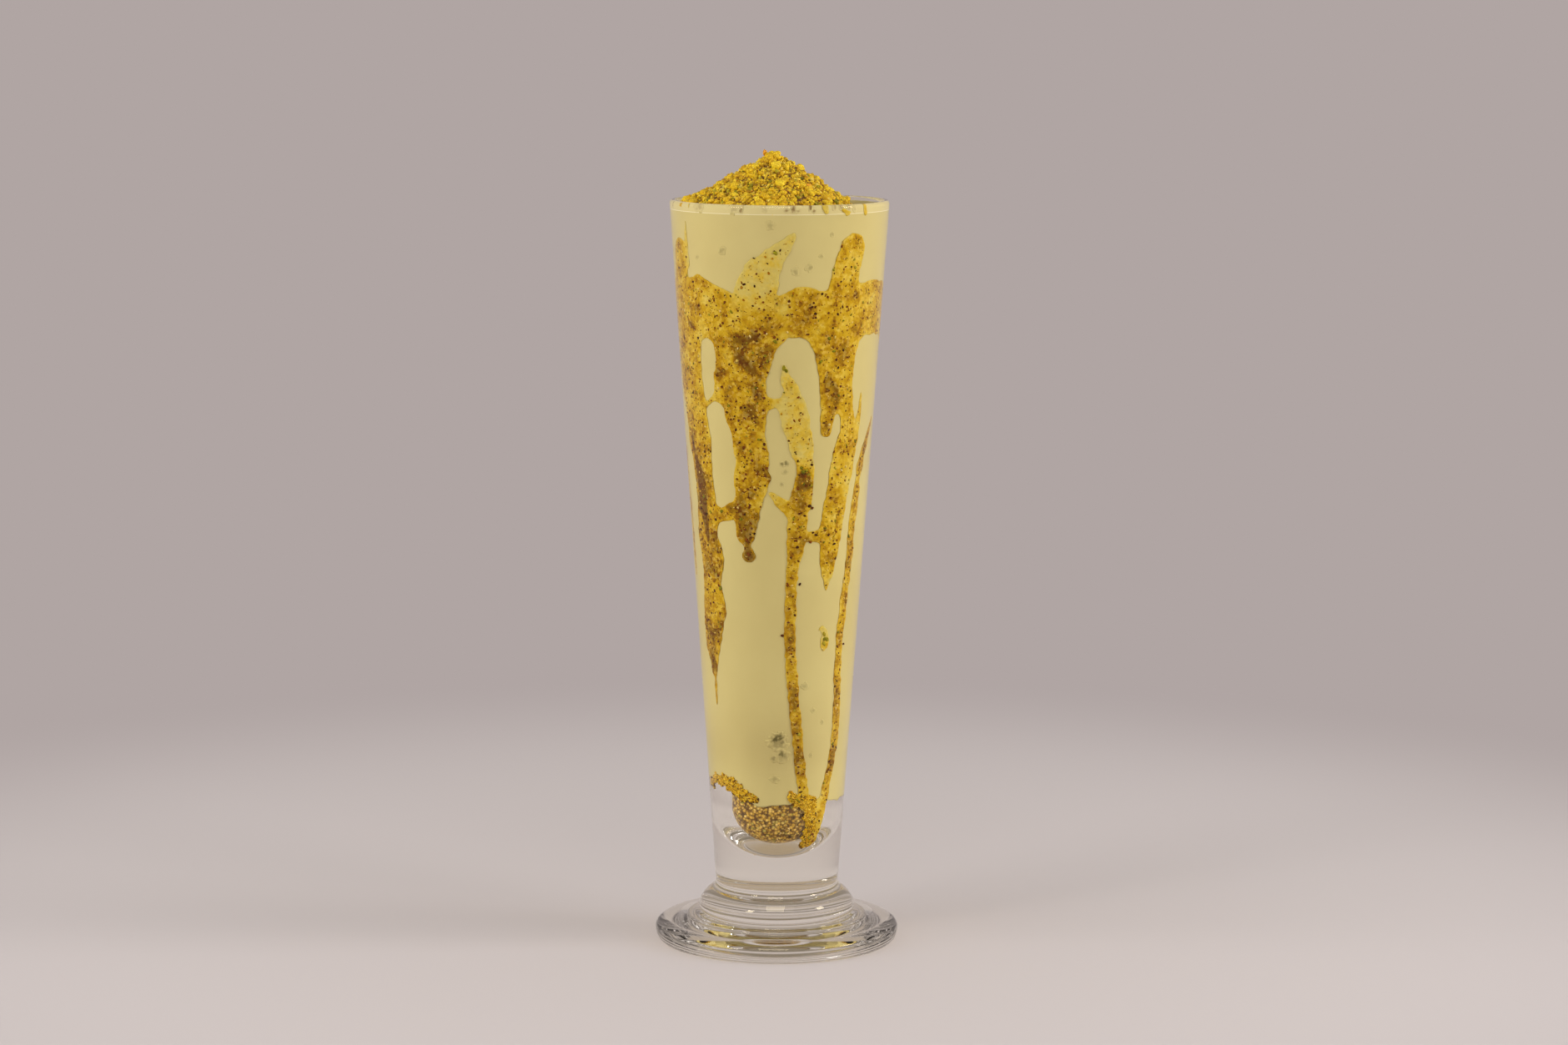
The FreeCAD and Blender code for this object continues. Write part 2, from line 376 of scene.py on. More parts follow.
# ---------------------------------------------------------------- sauce on the inner wall
# A run of sauce is a row of round spots joined up: angle round the glass in degrees, height
# and half width in mm. Angle 0 faces -Y and grows towards +X. Each run has a depth, from a
# thin smear at 0 to a thick dark drip at 1, and how far its joins are rounded off in mm.
SAUCE_RUNS = (
    # the band that was piped round the glass
    (0.55, 2.0, (
        (-180, 199, 7.5), (-150, 201, 8), (-120, 198.5, 7), (-95, 200, 8.5), (-75, 200.5, 8.5),
        (-52, 201.2, 9.2), (-30, 198.6, 7.6), (0, 198.7, 6.3), (14, 200.7, 7.8), (28, 198.8, 7.2),
        (45, 200, 8.2), (66, 201, 8.4), (85, 200, 8), (110, 199, 7.2), (140, 201, 8.2), (180, 199, 7.5))),
    # smears above the band
    (0.6, 1.5, ((-70, 217.3, 4.6), (-72, 206, 5.5))),
    (0.05, 1.0, ((-61, 227, 0.3), (-61.5, 222, 0.7), (-62, 214, 1.4))),
    (0.1, 1.2, ((8, 224.2, 0.8), (3, 220.5, 2.1), (-4, 216.5, 3.6), (-10, 212, 5.5), (-14, 206, 6.5))),
    (0.5, 1.5, ((45, 219.2, 5.0), (41, 213.5, 5.2), (40, 205, 6.0))),
    (0.6, 1.0, ((-52, 209.6, 1.8), (-46, 208, 2))),
    (0.5, 2.0, ((109, 213, 4.2), (107, 204, 6))),
    (0.3, 2.0, ((163, 215, 2.2), (158, 206, 5))),
    (0.5, 2.0, ((-138, 218, 4.4), (-136, 206, 6))),
    # left side: a broad drip that ends in a hair-thin tail
    (0.5, 4.0, ((-69, 192, 8.4), (-69, 180, 7.9), (-64.5, 170, 6.6), (-61.5, 160, 6.0))),
    (0.86, 1.5, (
        (-61.5, 160, 6.0), (-58.2, 150, 4.6), (-57, 140, 4.8), (-57.5, 130, 5.0), (-53.5, 123.5, 5.1),
        (-55.5, 115.5, 4.1), (-54.5, 107.5, 5.3), (-57.5, 101, 4.6), (-58.5, 95, 3.5), (-57.7, 88.5, 1.5),
        (-57.6, 85, 0.55), (-57.8, 77, 0.4))),
    (0.55, 1.5, ((-58, 170.5, 2.0), (-50, 171.2, 0.7), (-43, 173.6, 0.8), (-34, 177, 3))),
    (0.6, 0.4, ((-87, 156, 1.0), (-85, 146, 1.2), (-83.5, 137, 1.3), (-82, 125, 1.2), (-81, 117, 0.5))),
    # front, left of the middle: the densest drip
    (0.82, 4.5, ((-20.5, 192, 10.0), (-24.5, 181, 8.4), (-21.5, 171, 6.7))),
    (0.6, 1.5, ((-21.5, 171, 6.7), (-19.5, 162, 5.2), (-17.4, 155, 5.2), (-17.8, 149, 5.2))),
    (0.85, 1.5, (
        (-17.8, 149, 5.2), (-19, 145, 4.6), (-20.5, 140, 3.7), (-22, 135, 3.4), (-22.7, 131.6, 2.9))),
    (0.95, 0.5, ((-22.2, 135, 2.4), (-22.7, 131, 2.0), (-21.5, 128, 1.1), (-20.9, 125.2, 1.9))),
    (0.65, 2.5, ((-54, 136, 1.9), (-40, 137.5, 2.0), (-27, 139.5, 2.8))),
    # front, right of the middle: thin at first, a dark clump, then a long narrow drip
    (0.15, 0.8, ((-10, 172.5, 2.6), (-2, 172.8, 1.4), (6, 171.5, 3.0), (10.5, 168, 4.4))),
    (0.2, 0.8, (
        (2.8, 184, 0.6), (4.3, 180, 1.6), (7.5, 177, 2.3), (9.5, 171, 4.0), (11, 165.5, 4.0),
        (14.5, 160, 3.8), (17.3, 155, 2.7), (18.2, 152.2, 2.4))),
    (0.95, 0.8, ((18.2, 151.5, 2.6), (16.8, 147, 3.0), (15.3, 142, 3.2))),
    (0.75, 0.8, (
        (15.3, 142, 3.2), (13.5, 137.5, 2.9), (13, 132, 3.0), (12, 126, 2.4), (10, 120, 1.7),
        (9.3, 110, 1.7), (9.5, 98, 1.65), (10.8, 90, 1.7), (13, 80, 1.7), (14.8, 75, 1.7),
        (16.9, 70, 1.6), (19.6, 65, 1.5), (22, 60, 1.5), (25.6, 55, 1.45), (29, 50, 1.45), (31, 45, 1.5))),
    (0.35, 0.8, ((-4.5, 144.6, 0.7), (0, 142.5, 1.5), (7, 140, 2.0), (12, 138, 2.4))),
    (0.6, 0.8, ((14, 132.5, 1.6), (22, 131, 1.5), (30, 131.5, 2.0))),
    # right side: a blunt drip, a broad one with a spike beside it, and a long narrow one
    (0.65, 4.5, ((36.8, 191, 8.3), (37.6, 180, 6.2), (39, 174, 5.2))),
    (0.8, 1.5, ((34, 178, 3.6), (32.6, 170, 2.6), (31.5, 165.5, 2.0), (31.1, 163.6, 1.7))),
    (0.5, 1.5, (
        (46, 175, 2.6), (47, 169, 2.7), (50.3, 162.5, 3.9), (47.8, 157, 4.7), (45.2, 150, 4.6),
        (43, 143, 4.2), (40.5, 137, 4.3), (39, 130, 3.8), (38, 123, 2.9), (37.6, 118.5, 1.8),
        (37.5, 114.3, 0.5))),
    (0.6, 0.6, ((60, 174.5, 0.3), (59.8, 170, 0.9), (58, 165, 1.5), (55, 160, 2.2))),
    (0.7, 0.3, (
        (81, 166, 0.7), (74.5, 161, 1.1), (68.8, 156.5, 1.6), (65.2, 151.5, 1.8), (63, 147.5, 1.2),
        (63.5, 144.5, 1.7), (61.8, 140, 2.0), (59.6, 130, 1.7), (60.3, 124, 1.6), (57, 113, 1.7),
        (55.3, 104, 1.8), (54.3, 97, 1.5), (54.3, 87.5, 1.65), (56, 80, 1.65), (57.4, 73, 1.7),
        (59.4, 68, 1.6), (61, 62.5, 1.5), (62.6, 57.5, 1.3), (61.8, 55.5, 1.4), (59.5, 52, 1.5),
        (57.5, 47.5, 1.6), (51, 43.5, 2.2), (46.5, 39, 2.2), (46, 36, 1.9), (46.5, 33, 1.4))),
    (0.3, 0.3, (
        (33, 101.6, 0.3), (35.3, 102.3, 0.7), (37.8, 100.4, 1.25), (38.5, 98.2, 1.45), (38, 96.4, 1.2),
        (37.5, 95.2, 0.6))),
    # smears left between the lassi and the lip
    (0.2, 0.3, ((-57, 232.2, 0.6), (-57, 231.2, 0.4))),
    (0.25, 0.4, ((25.5, 232.2, 1.0), (26, 230.9, 0.9))),
    (0.3, 0.5, ((36, 231.2, 0.7), (40, 230.4, 0.6), (38.5, 229.6, 0.5))),
    (0.25, 0.4, ((52, 231.6, 0.7), (53, 230.0, 0.6))),
    (0.5, 0.4, ((-140, 231.8, 0.7), (-133, 230.9, 0.9))),
    # round the back
    (0.6, 4.0, (
        (100, 191, 7), (101, 175, 4.3), (99, 160, 2.8), (101, 148, 2.6), (98.5, 136, 1.4),
        (98.5, 128, 0.8))),
    (0.7, 4.0, ((123, 191, 5), (125, 178, 2.8), (126, 169, 1.9))),
    (0.8, 4.0, (
        (148, 191, 8), (150, 175, 5.8), (149, 160, 4.5), (152, 145, 3.8), (150, 130, 2.5), (151, 112, 1.8),
        (149, 95, 1.6), (152, 80, 1.5), (150, 65, 1.3), (153, 54, 1.2), (154, 44, 1.1))),
    (0.6, 4.0, ((-178, 191, 6), (-176, 171, 3.3), (-177, 158, 2.0), (-178, 150, 1.0))),
    (0.85, 4.0, (
        (-150, 191, 8), (-152, 176, 6), (-149, 162, 4.8), (-151, 150, 4.4), (-148, 140, 2.9),
        (-149, 132, 2.6), (-149, 124, 0.9))),
    (0.7, 4.0, (
        (-120, 191, 7), (-122, 172, 4.4), (-119, 158, 3.9), (-121, 144, 3.4), (-118, 128, 1.9),
        (-120, 110, 1.5), (-118, 92, 1.3), (-119, 80, 0.8))),
    (0.6, 4.0, ((-99, 191, 5), (-99, 174, 2.6), (-100, 162, 1.9), (-99, 152, 1.0))),
)

# brown skin and clots of darker nut that stand out in the sauce: a depth past 1, how soft the
# edge is in mm, and the spots
CLOTS = (
    (1.7, 0.9, (
        (-65.5, 154, 0.7), (-62.5, 150, 1.7), (-60.5, 146, 2.0), (-59.8, 141, 2.1), (-59, 137, 1.9),
        (-57.5, 133, 1.2), (-56.5, 129, 0.5))),
    (1.35, 1.5, ((-24, 186, 1.6), (-17, 183, 1.4), (-12, 181, 0.8))),
    (1.3, 1.5, ((-29, 193, 1.2), (-20, 191.5, 1.4), (-14, 193, 1.0))),
    (1.35, 1.2, ((-16, 177.5, 1.2), (-13, 175, 1.0))),
    (1.2, 1.2, ((-20.5, 171, 1.3), (-15, 168, 0.9))),
    (1.3, 1.0, ((-23, 139, 1.8), (-22.5, 134, 2.0), (-21.5, 128, 1.0), (-20.9, 125.2, 1.3))),
    (1.4, 0.6, ((-69, 160, 0.5), (-67.5, 156.5, 0.6))),
    (1.25, 1.0, ((16.5, 147.5, 2.0), (18, 150.5, 1.6))),
    (1.2, 1.0, ((37, 177, 0.8), (38.5, 172.5, 0.6))),
    (1.1, 0.8, ((45.5, 138.5, 0.7), (43.5, 133, 0.7))),
    (1.2, 0.8, ((-57.5, 93, 1.6), (-57.7, 90, 1.0))),
    (1.3, 0.6, ((-63, 196, 0.8), (-58, 194.5, 0.7))),
)

# wet crumb banked up the wall at the bottom, and where the long drips meet it, as runs of sauce
WET_RUNS = (
    (0.35, 0.6, (
        (-100, 50, 0.6), (-90, 50.8, 0.7), (-80, 51.6, 0.8), (-68, 52.0, 1.2), (-58, 51.5, 1.6),
        (-48, 50.2, 1.6), (-40, 48.9, 1.3), (-32, 47.7, 0.8), (-25, 47.1, 0.3))),
    (0.35, 0.6, ((16, 48.2, 0.6), (24, 46.8, 1.3), (33, 45.8, 1.6))),
    (0.45, 0.8, ((36, 46.5, 1.8), (43, 44, 3.0), (45.5, 39, 2.4), (45.5, 36.4, 2.1), (46.5, 33.6, 1.6))),
)

# how far waves move the sauce's edge and change its depth, with each wave's size and shift in mm
EDGE_WAVES = ((0.45, 2.6, 0.0), (0.22, 1.1, 7.0))
DEPTH_WAVE = (0.45, 6.0, 3.0)
DEEPEST = 1.6


def run_distance(turn, height, radius, run):
    """How far places on the wall are outside a run of sauce, in mm: below zero inside it."""
    nearest = np.full(turn.shape, 1e3)
    for (turn_a, height_a, wide_a), (turn_b, height_b, wide_b) in zip(run, run[1:]):
        across = np.radians(turn_b - turn_a) * radius
        rise = height_b - height_a
        x = np.radians((turn - turn_a + 180) % 360 - 180) * radius
        y = height - height_a
        share = np.clip((x * across + y * rise) / (across * across + rise * rise), 0, 1)
        off = np.hypot(x - share * across, y - share * rise)
        nearest = np.minimum(nearest, off - wide_a - (wide_b - wide_a) * share)
    return nearest


def sauce_at(glass, turn, height):
    """Distance outside the sauce in mm, and its depth, at angles in degrees and heights in mm."""
    radius = glass.inside_mm(height)
    outside = np.full(turn.shape, 1e3)
    depth = np.zeros(turn.shape)
    gradual = 5.0             # least width in mm over which the depth changes from run to run
    for run_depth, soft, run in SAUCE_RUNS + WET_RUNS:
        own = run_distance(turn, height, radius, run)
        share = np.clip(0.5 + 0.5 * (outside - own) / soft, 0, 1)
        blend = np.clip(0.5 + 0.5 * (outside - own) / max(soft, gradual), 0, 1)
        outside = outside + (own - outside) * share - soft * share * (1 - share)
        depth = depth + (run_depth - depth) * blend
    for clot_depth, soft, run in CLOTS:
        own = run_distance(turn, height, radius, run)
        depth = depth + (clot_depth - depth) * np.clip(0.5 - own / soft, 0, 1)
    # its edge strays a little, its depth comes and goes, and it thins out along the edge
    places = on_wall(glass, turn, height) / MM
    for reach, size, shift in EDGE_WAVES:
        outside = outside + reach * uneven(places, size, shift)
    reach, size, shift = DEPTH_WAVE
    cloud = reach * uneven(places, size, shift) * (0.4 + depth)
    thinned = 0.2 * np.exp(outside / 0.9)
    return outside, np.clip(depth + cloud - thinned, 0, DEEPEST)


def on_wall(glass, turn, height, into=0.0):
    """Places on the inner wall from angles in degrees and heights in mm, moved into the glass."""
    radius = glass.inside_mm(height) * MM + into
    angle = np.radians(turn)
    return np.stack([radius * np.sin(angle), -radius * np.cos(angle), height * MM], axis=-1)


# ---------------------------------------------------------------- materials
# settings of a Mix node that multiplies two colours
MULTIPLY = {"data_type": "RGBA", "blend_type": "MULTIPLY", "Factor_Float": 1.0}


def node(tree, kind, settings, links=None, stops=()):
    """Adds a node: its settings, the outputs that feed its inputs, and a ramp's colour stops.

    An input goes by its identifier, which tells a node's like-named inputs apart.
    """
    made = tree.nodes.new(kind)
    inputs = {socket.identifier: socket for socket in made.inputs}
    for name, value in settings.items():
        if isinstance(value, str) and value.startswith("#"):
            value = (*linear(value), 1.0)
        if name in inputs:
            inputs[name].default_value = value
        else:
            setattr(made, name, value)
    for name, source in (links or {}).items():
        tree.links.new(source, inputs[name])
    if stops:
        points = made.color_ramp.elements
        while len(points) < len(stops):
            points.new(0.5)
        for point, (place, code) in zip(points, stops):
            point.position = place
            point.color = (*linear(code), 1.0)
    return made


def new_material(name):
    """An empty node material and its tree."""
    material = bpy.data.materials.new(name)
    material.use_nodes = True
    material.node_tree.nodes.clear()
    return material, material.node_tree


def clear_soda_glass():
    """Soda-lime glass, pressed and fire-polished: clear and smooth, with a little warmth."""
    material, tree = new_material("clear_soda_glass")
    shader = node(tree, "ShaderNodeBsdfPrincipled", {
        "Base Color": "#FBF7EE", "Roughness": 0.0, "IOR": 1.52, "Transmission Weight": 1.0,
        "Specular Tint": "#EDDDB8"})
    # lets light through to the drink inside, and the floor keeps a pale shadow
    clear = node(tree, "ShaderNodeBsdfTransparent", {"Color": "#F7F4EE"})
    path = node(tree, "ShaderNodeLightPath", {})
    either = node(tree, "ShaderNodeMath", {"operation": "MAXIMUM"}, {
        "Value": path.outputs["Is Shadow Ray"], "Value_001": path.outputs["Is Diffuse Ray"]})
    mix = node(tree, "ShaderNodeMixShader", {}, {
        "Fac": either.outputs[0], "Shader": shader.outputs[0], "Shader_001": clear.outputs[0]})
    node(tree, "ShaderNodeOutputMaterial", {}, {"Surface": mix.outputs[0]})
    return material


def whisked_yoghurt(name, tone, gloss, shade="#554C24"):
    """Yoghurt whisked with pistachio: opaque and smooth, wet to the eye only where air meets it."""
    material, tree = new_material(name)
    place = node(tree, "ShaderNodeTexCoord", {}).outputs["Object"]
    # whisked in unevenly: faint clouds about 25 mm across
    cloud = node(tree, "ShaderNodeTexNoise", {"Scale": 1 / (25 * MM), "Detail": 2.0}, {"Vector": place})
    clouded = node(tree, "ShaderNodeValToRGB", {}, {"Fac": cloud.outputs["Fac"]}, (
        (0.35, "#F9F7F4"), (0.65, "#FFFFFF")))
    even = node(tree, "ShaderNodeMix", {**MULTIPLY, "A_Color": (*tone, 1.0)}, {
        "B_Color": clouded.outputs["Color"]})
    # bits of nut just under the surface show as soft grey-green shadows
    shadow = node(tree, "ShaderNodeAttribute", {"attribute_name": "shadow"})
    shaded = node(tree, "ShaderNodeMix", {"data_type": "RGBA", "B_Color": shade}, {
        "Factor_Float": shadow.outputs["Fac"], "A_Color": even.outputs[2]})
    shader = node(tree, "ShaderNodeBsdfPrincipled", {
        "Roughness": 0.3, "IOR": 1.35, "Specular IOR Level": gloss}, {"Base Color": shaded.outputs[2]})
    node(tree, "ShaderNodeOutputMaterial", {}, {"Surface": shader.outputs[0]})
    return material


def pistachio_sauce():
    """Ground pistachio stirred into syrup: pale where it ran thin, golden to brown where thick."""
    material, tree = new_material("pistachio_sauce")
    place = node(tree, "ShaderNodeTexCoord", {}).outputs["Object"]
    deep = node(tree, "ShaderNodeAttribute", {"attribute_name": "depth"}).outputs["Fac"]
    # it gathers in clots a few mm across, less so where it is thin
    cloud = node(tree, "ShaderNodeTexNoise", {
        "Scale": 1 / (3.4 * MM), "Detail": 5.0, "Roughness": 0.72}, {"Vector": place})
    clot = node(tree, "ShaderNodeMapRange", {
        "From Min": 0.3, "From Max": 0.7, "To Min": -0.62, "To Max": 0.55}, {"Value": cloud.outputs["Fac"]})
    loose = node(tree, "ShaderNodeMapRange", {"To Min": 0.3, "To Max": 1.0}, {"Value": deep})
    thick = node(tree, "ShaderNodeMath", {"operation": "MULTIPLY_ADD", "use_clamp": True}, {
        "Value": clot.outputs[0], "Value_001": loose.outputs[0], "Value_002": deep})
    body = node(tree, "ShaderNodeValToRGB", {}, {"Fac": thick.outputs[0]}, (
        (0.0, "#C8B662"), (0.2, "#CDB040"), (0.49, "#BF9910"), (0.75, "#9C6E00"), (1.0, "#562C00")))
    # ground nut in it shows as flecks about 0.9 mm across, few of them where it is thin
    fleck = node(tree, "ShaderNodeTexVoronoi", {"Scale": 1 / (0.9 * MM)}, {"Vector": place})
    cell = node(tree, "ShaderNodeSeparateColor", {}, {"Color": fleck.outputs["Color"]})
    flecks = node(tree, "ShaderNodeValToRGB", {}, {"Fac": cell.outputs[0]}, (
        (0.0, "#562600"), (0.12, "#8A5800"), (0.3, "#B08A04"), (0.7, "#C8A418"), (0.9, "#DDC05A")))
    # where skin lies in a clot, the brown of it covers the flecks
    clotted = node(tree, "ShaderNodeMapRange", {
        "From Min": 1.0, "From Max": 1.5, "To Min": 0.42, "To Max": 0.12}, {"Value": deep})
    share = node(tree, "ShaderNodeMapRange", {"To Min": 0.1}, {"Value": deep, "To Max": clotted.outputs[0]})
    mixed = node(tree, "ShaderNodeMix", {"data_type": "RGBA"}, {
        "Factor_Float": share.outputs[0], "A_Color": body.outputs["Color"],
        "B_Color": flecks.outputs["Color"]})
    shader = node(tree, "ShaderNodeBsdfPrincipled", {
        "Roughness": 0.4, "IOR": 1.42, "Specular IOR Level": 0.0}, {"Base Color": mixed.outputs[2]})
    node(tree, "ShaderNodeOutputMaterial", {}, {"Surface": shader.outputs[0]})
    return material


def ground_nut(name, size, stops):
    """Roasted pistachio ground coarse: matt crumbs of kernel and skin, with painted shade in the gaps
    between them.
    """
    material, tree = new_material(name)
    place = node(tree, "ShaderNodeTexCoord", {}).outputs["Object"]
    crumb = node(tree, "ShaderNodeTexVoronoi", {"Scale": 1 / size}, {"Vector": place})
    cell = node(tree, "ShaderNodeSeparateColor", {}, {"Color": crumb.outputs["Color"]})
    own = node(tree, "ShaderNodeValToRGB", {}, {"Fac": cell.outputs[0]}, stops)
    # painted shade: the colour darkens towards each crumb's edge, where the gaps between crumbs would lie
    # in shade
    gap = node(tree, "ShaderNodeValToRGB", {}, {"Fac": crumb.outputs["Distance"]}, (
        (0.3, "#FFFFFF"), (0.7, "#7A6038")))
    shaded = node(tree, "ShaderNodeMix", MULTIPLY, {
        "A_Color": own.outputs["Color"], "B_Color": gap.outputs["Color"]})
    shader = node(tree, "ShaderNodeBsdfPrincipled", {"Roughness": 0.75, "IOR": 1.46}, {
        "Base Color": shaded.outputs[2]})
    node(tree, "ShaderNodeOutputMaterial", {}, {"Surface": shader.outputs[0]})
    return material


def nut_flecks(name, stops, gloss=0.0):
    """Bits of roasted pistachio, each its own colour: kernel, skin or husk. Dull under glass."""
    material, tree = new_material(name)
    tint = node(tree, "ShaderNodeAttribute", {"attribute_name": "tint"})
    own = node(tree, "ShaderNodeValToRGB", {}, {"Fac": tint.outputs["Fac"]}, stops)
    place = node(tree, "ShaderNodeTexCoord", {}).outputs["Object"]
    # broken faces and dust, about 0.35 mm across
    grit = node(tree, "ShaderNodeTexNoise", {"Scale": 1 / (0.35 * MM), "Detail": 2.0}, {"Vector": place})
    shade = node(tree, "ShaderNodeValToRGB", {}, {"Fac": grit.outputs["Fac"]}, (
        (0.3, "#B8A478"), (0.7, "#FFFFFF")))
    dusty = node(tree, "ShaderNodeMix", MULTIPLY, {
        "A_Color": own.outputs["Color"], "B_Color": shade.outputs["Color"]})
    shader = node(tree, "ShaderNodeBsdfPrincipled", {
        "Roughness": 0.6, "IOR": 1.46, "Specular IOR Level": gloss}, {"Base Color": dusty.outputs[2]})
    node(tree, "ShaderNodeOutputMaterial", {}, {"Surface": shader.outputs[0]})
    return material


def pale_plaster(colours):
    """Painted plaster board: matt, pale near the glass and greyer further off."""
    material, tree = new_material("pale_plaster")
    place = node(tree, "ShaderNodeTexCoord", {}).outputs["Object"]
    from_axis = node(tree, "ShaderNodeVectorMath", {"operation": "LENGTH"}, {"Vector": place})
    away = from_axis.outputs["Value"]
    fade = node(tree, "ShaderNodeMapRange", {
        "interpolation_type": "SMOOTHSTEP", "From Min": 0.14, "From Max": 0.47}, {"Value": away})
    near = node(tree, "ShaderNodeBsdfPrincipled", {
        "Base Color": (*colours.floor, 1.0), "Roughness": 0.85, "Specular IOR Level": 0.2})
    # further off, and through glass, the floor is a plain tone that lights nothing, with a painted
    # shadow of the glass under it, darker towards the axis
    under = node(tree, "ShaderNodeMapRange", {
        "interpolation_type": "SMOOTHSTEP", "From Min": 0.012, "From Max": 0.045}, {"Value": away})
    # painted shadow: the floor's tone turns darker within about 45 mm of the glass's axis
    shade = node(tree, "ShaderNodeMix", {
        "data_type": "RGBA", "A_Color": "#A8967E", "B_Color": (*colours.floor, 1.0)},
        {"Factor_Float": under.outputs[0]})
    tone = node(tree, "ShaderNodeMix", {"data_type": "RGBA", "B_Color": (*colours.wall, 1.0)}, {
        "Factor_Float": fade.outputs[0], "A_Color": shade.outputs[2]})
    plain = node(tree, "ShaderNodeEmission", {}, {"Color": tone.outputs[2]})
    path = node(tree, "ShaderNodeLightPath", {})
    seen = node(tree, "ShaderNodeMath", {"operation": "MAXIMUM"}, {
        "Value": path.outputs["Is Camera Ray"], "Value_001": path.outputs["Is Glossy Ray"]})
    faded = node(tree, "ShaderNodeMath", {"operation": "MULTIPLY"}, {
        "Value": fade.outputs[0], "Value_001": seen.outputs[0]})
    share = node(tree, "ShaderNodeMath", {"operation": "MAXIMUM"}, {
        "Value": faded.outputs[0], "Value_001": path.outputs["Is Transmission Ray"]})
    mix = node(tree, "ShaderNodeMixShader", {}, {
        "Fac": share.outputs[0], "Shader": near.outputs[0], "Shader_001": plain.outputs[0]})
    node(tree, "ShaderNodeOutputMaterial", {}, {"Surface": mix.outputs[0]})
    return material


# ---------------------------------------------------------------- operators
class LASSI_OT_glass(bpy.types.Operator):
    """Builds the clear footed glass from its half section"""
    bl_idname = "lassi.glass"
    bl_label = "Build the glass"

    def execute(self, context):
        bm = bmesh.new()
        spin_outline(bm, glass_outline(Profile(context.scene.lassi_glass)), steps=192)
        keep_piece(mesh_of(bm, "footed_glass"), [clear_soda_glass()], ["glass"])
        return {"FINISHED"}


class LASSI_OT_drink(bpy.types.Operator):
    """Builds the lassi, up to its level and down to the ground pistachio"""
    bl_idname = "lassi.drink"
    bl_label = "Build the lassi"

    settle = 14 * MM          # height over which the uneven lower edge evens out
    ragged = 0.6 * MM         # how far that edge strays from the pistachio's top
    # the coat over the level, up the wall and down its face again: heights in mm as made, and
    # how many times its thickness it stands out of the wall
    coat_up = (0.2, 0.45, 0.7, 1.0)
    coat_down = ((1, 1.0), (1, 0.5), (1.6, 0.15), (3.5, 0.0))
    coat_foot = 0.3           # what is lower than this keeps its height, the rest is stretched

    def execute(self, context):
        glass, contents = shapes(context.scene)
        low = glass.floor_z + contents.nut_depth
        settle = low + self.settle
        edge = glass.inside(LEVEL) + contents.wet
        bm = bmesh.new()
        spin_outline(bm, self.outline(glass, contents, low, settle, edge), steps=256)
        for vert in bm.verts:
            if vert.co.z > LEVEL + 0.1 * MM:
                self.stretch_coat(glass, contents, vert)
            elif vert.co.z < settle - HAIR:
                self.fit_to_nut(glass, contents, vert, low, settle)
        bmesh.ops.recalc_face_normals(bm, faces=bm.faces)
        for face in bm.faces:
            face.material_index = self.finish(face, edge)
        colours = context.scene.lassi_colours
        materials = [
            whisked_yoghurt("whisked_yoghurt_at_glass", colours.lassi, 0.0),
            whisked_yoghurt("whisked_yoghurt_surface", colours.lassi, 0.5),
            whisked_yoghurt("whisked_yoghurt_coat", colours.coat, 0.0, "#6E4C1C"),
            whisked_yoghurt("whisked_yoghurt_froth", colours.froth, 0.0),
        ]
        keep_piece(mesh_of(bm, "lassi_drink"), materials, ["lassi"])
        return {"FINISHED"}

    def outline(self, glass, contents, low, settle, edge):
        """Half section: across the bottom, up the wall, over the coat and in across the level."""
        rows = [low] + steps_between(low, settle, 28) + steps_between(settle, LEVEL, 60)
        points = [Vector((glass.throat_r * k / 16, 0, low)) for k in range(16)]
        points += [Vector((glass.inside(z) + contents.wet, 0, z)) for z in rows]
        for up in self.coat_up:
            z = LEVEL + up * MM
            points.append(Vector((edge + (glass.inside(z) - glass.inside(LEVEL)), 0, z)))
        for thick, up in self.coat_down:
            points.append(Vector((edge - contents.coat * thick, 0, LEVEL + up * MM)))
        return points + [Vector((x, 0, LEVEL)) for x in steps_between(points[-1].x, 0, 14)]

    def stretch_coat(self, glass, contents, vert):
        """Takes a point of the coat up to the coat's own height there, along the wall's slope."""
        x, y, z = vert.co
        share = (z - LEVEL) / MM
        if share > self.coat_foot:
            up = LEVEL + share * self.coat_rise(contents, x, y)
            grown = 1 + (glass.inside(up) - glass.inside(z)) / math.hypot(x, y)
            vert.co = (x * grown, y * grown, up)

    def coat_rise(self, contents, x, y):
        """How far the lassi coats the wall above its level: most at the front, uneven."""
        front = 0.5 - 0.5 * math.sin(math.atan2(y, x))
        broad = noise.noise(Vector((x, y, 0)) / (9 * MM))
        fine = noise.noise(Vector((x, y, 3 * MM)) / (3 * MM))
        rise = contents.coat_rise * (0.6 + 0.4 * front) + 0.35 * MM * (broad + 0.5 * fine)
        return max(0.25 * MM, rise)

    def fit_to_nut(self, glass, contents, vert, low, settle):
        """Takes a point of the lower end down or up to the pistachio's uneven top."""
        x, y, z = vert.co
        if z < low + HAIR and math.hypot(x, y) < glass.throat_r * 0.98:
            vert.co.z = nut_top(glass, contents, x, y)
            return
        turn = math.atan2(y, x)
        wall = glass.throat_r + contents.wet
        base = nut_top(glass, contents, wall * math.cos(turn), wall * math.sin(turn))
        base += self.ragged * noise.noise(Vector((x, y, 0)).normalized() * 6)
        z = settle - (settle - z) * (settle - base) / (settle - low)
        radius = glass.inside(z) + contents.wet
        vert.co = (radius * math.cos(turn), radius * math.sin(turn), z)

    def finish(self, face, edge):
        """A face's material: 0 against the glass, 1 open to the air, 2 the coat, 3 the froth."""
        middle = face.calc_center_median()
        if middle.z <= LEVEL - 0.1 * MM:
            return 0
        if math.hypot(middle.x, middle.y) <= edge - 0.2 * MM or face.normal.z >= 0.5:
            return 1
        return 3 if middle.z < LEVEL + FROTH else 2


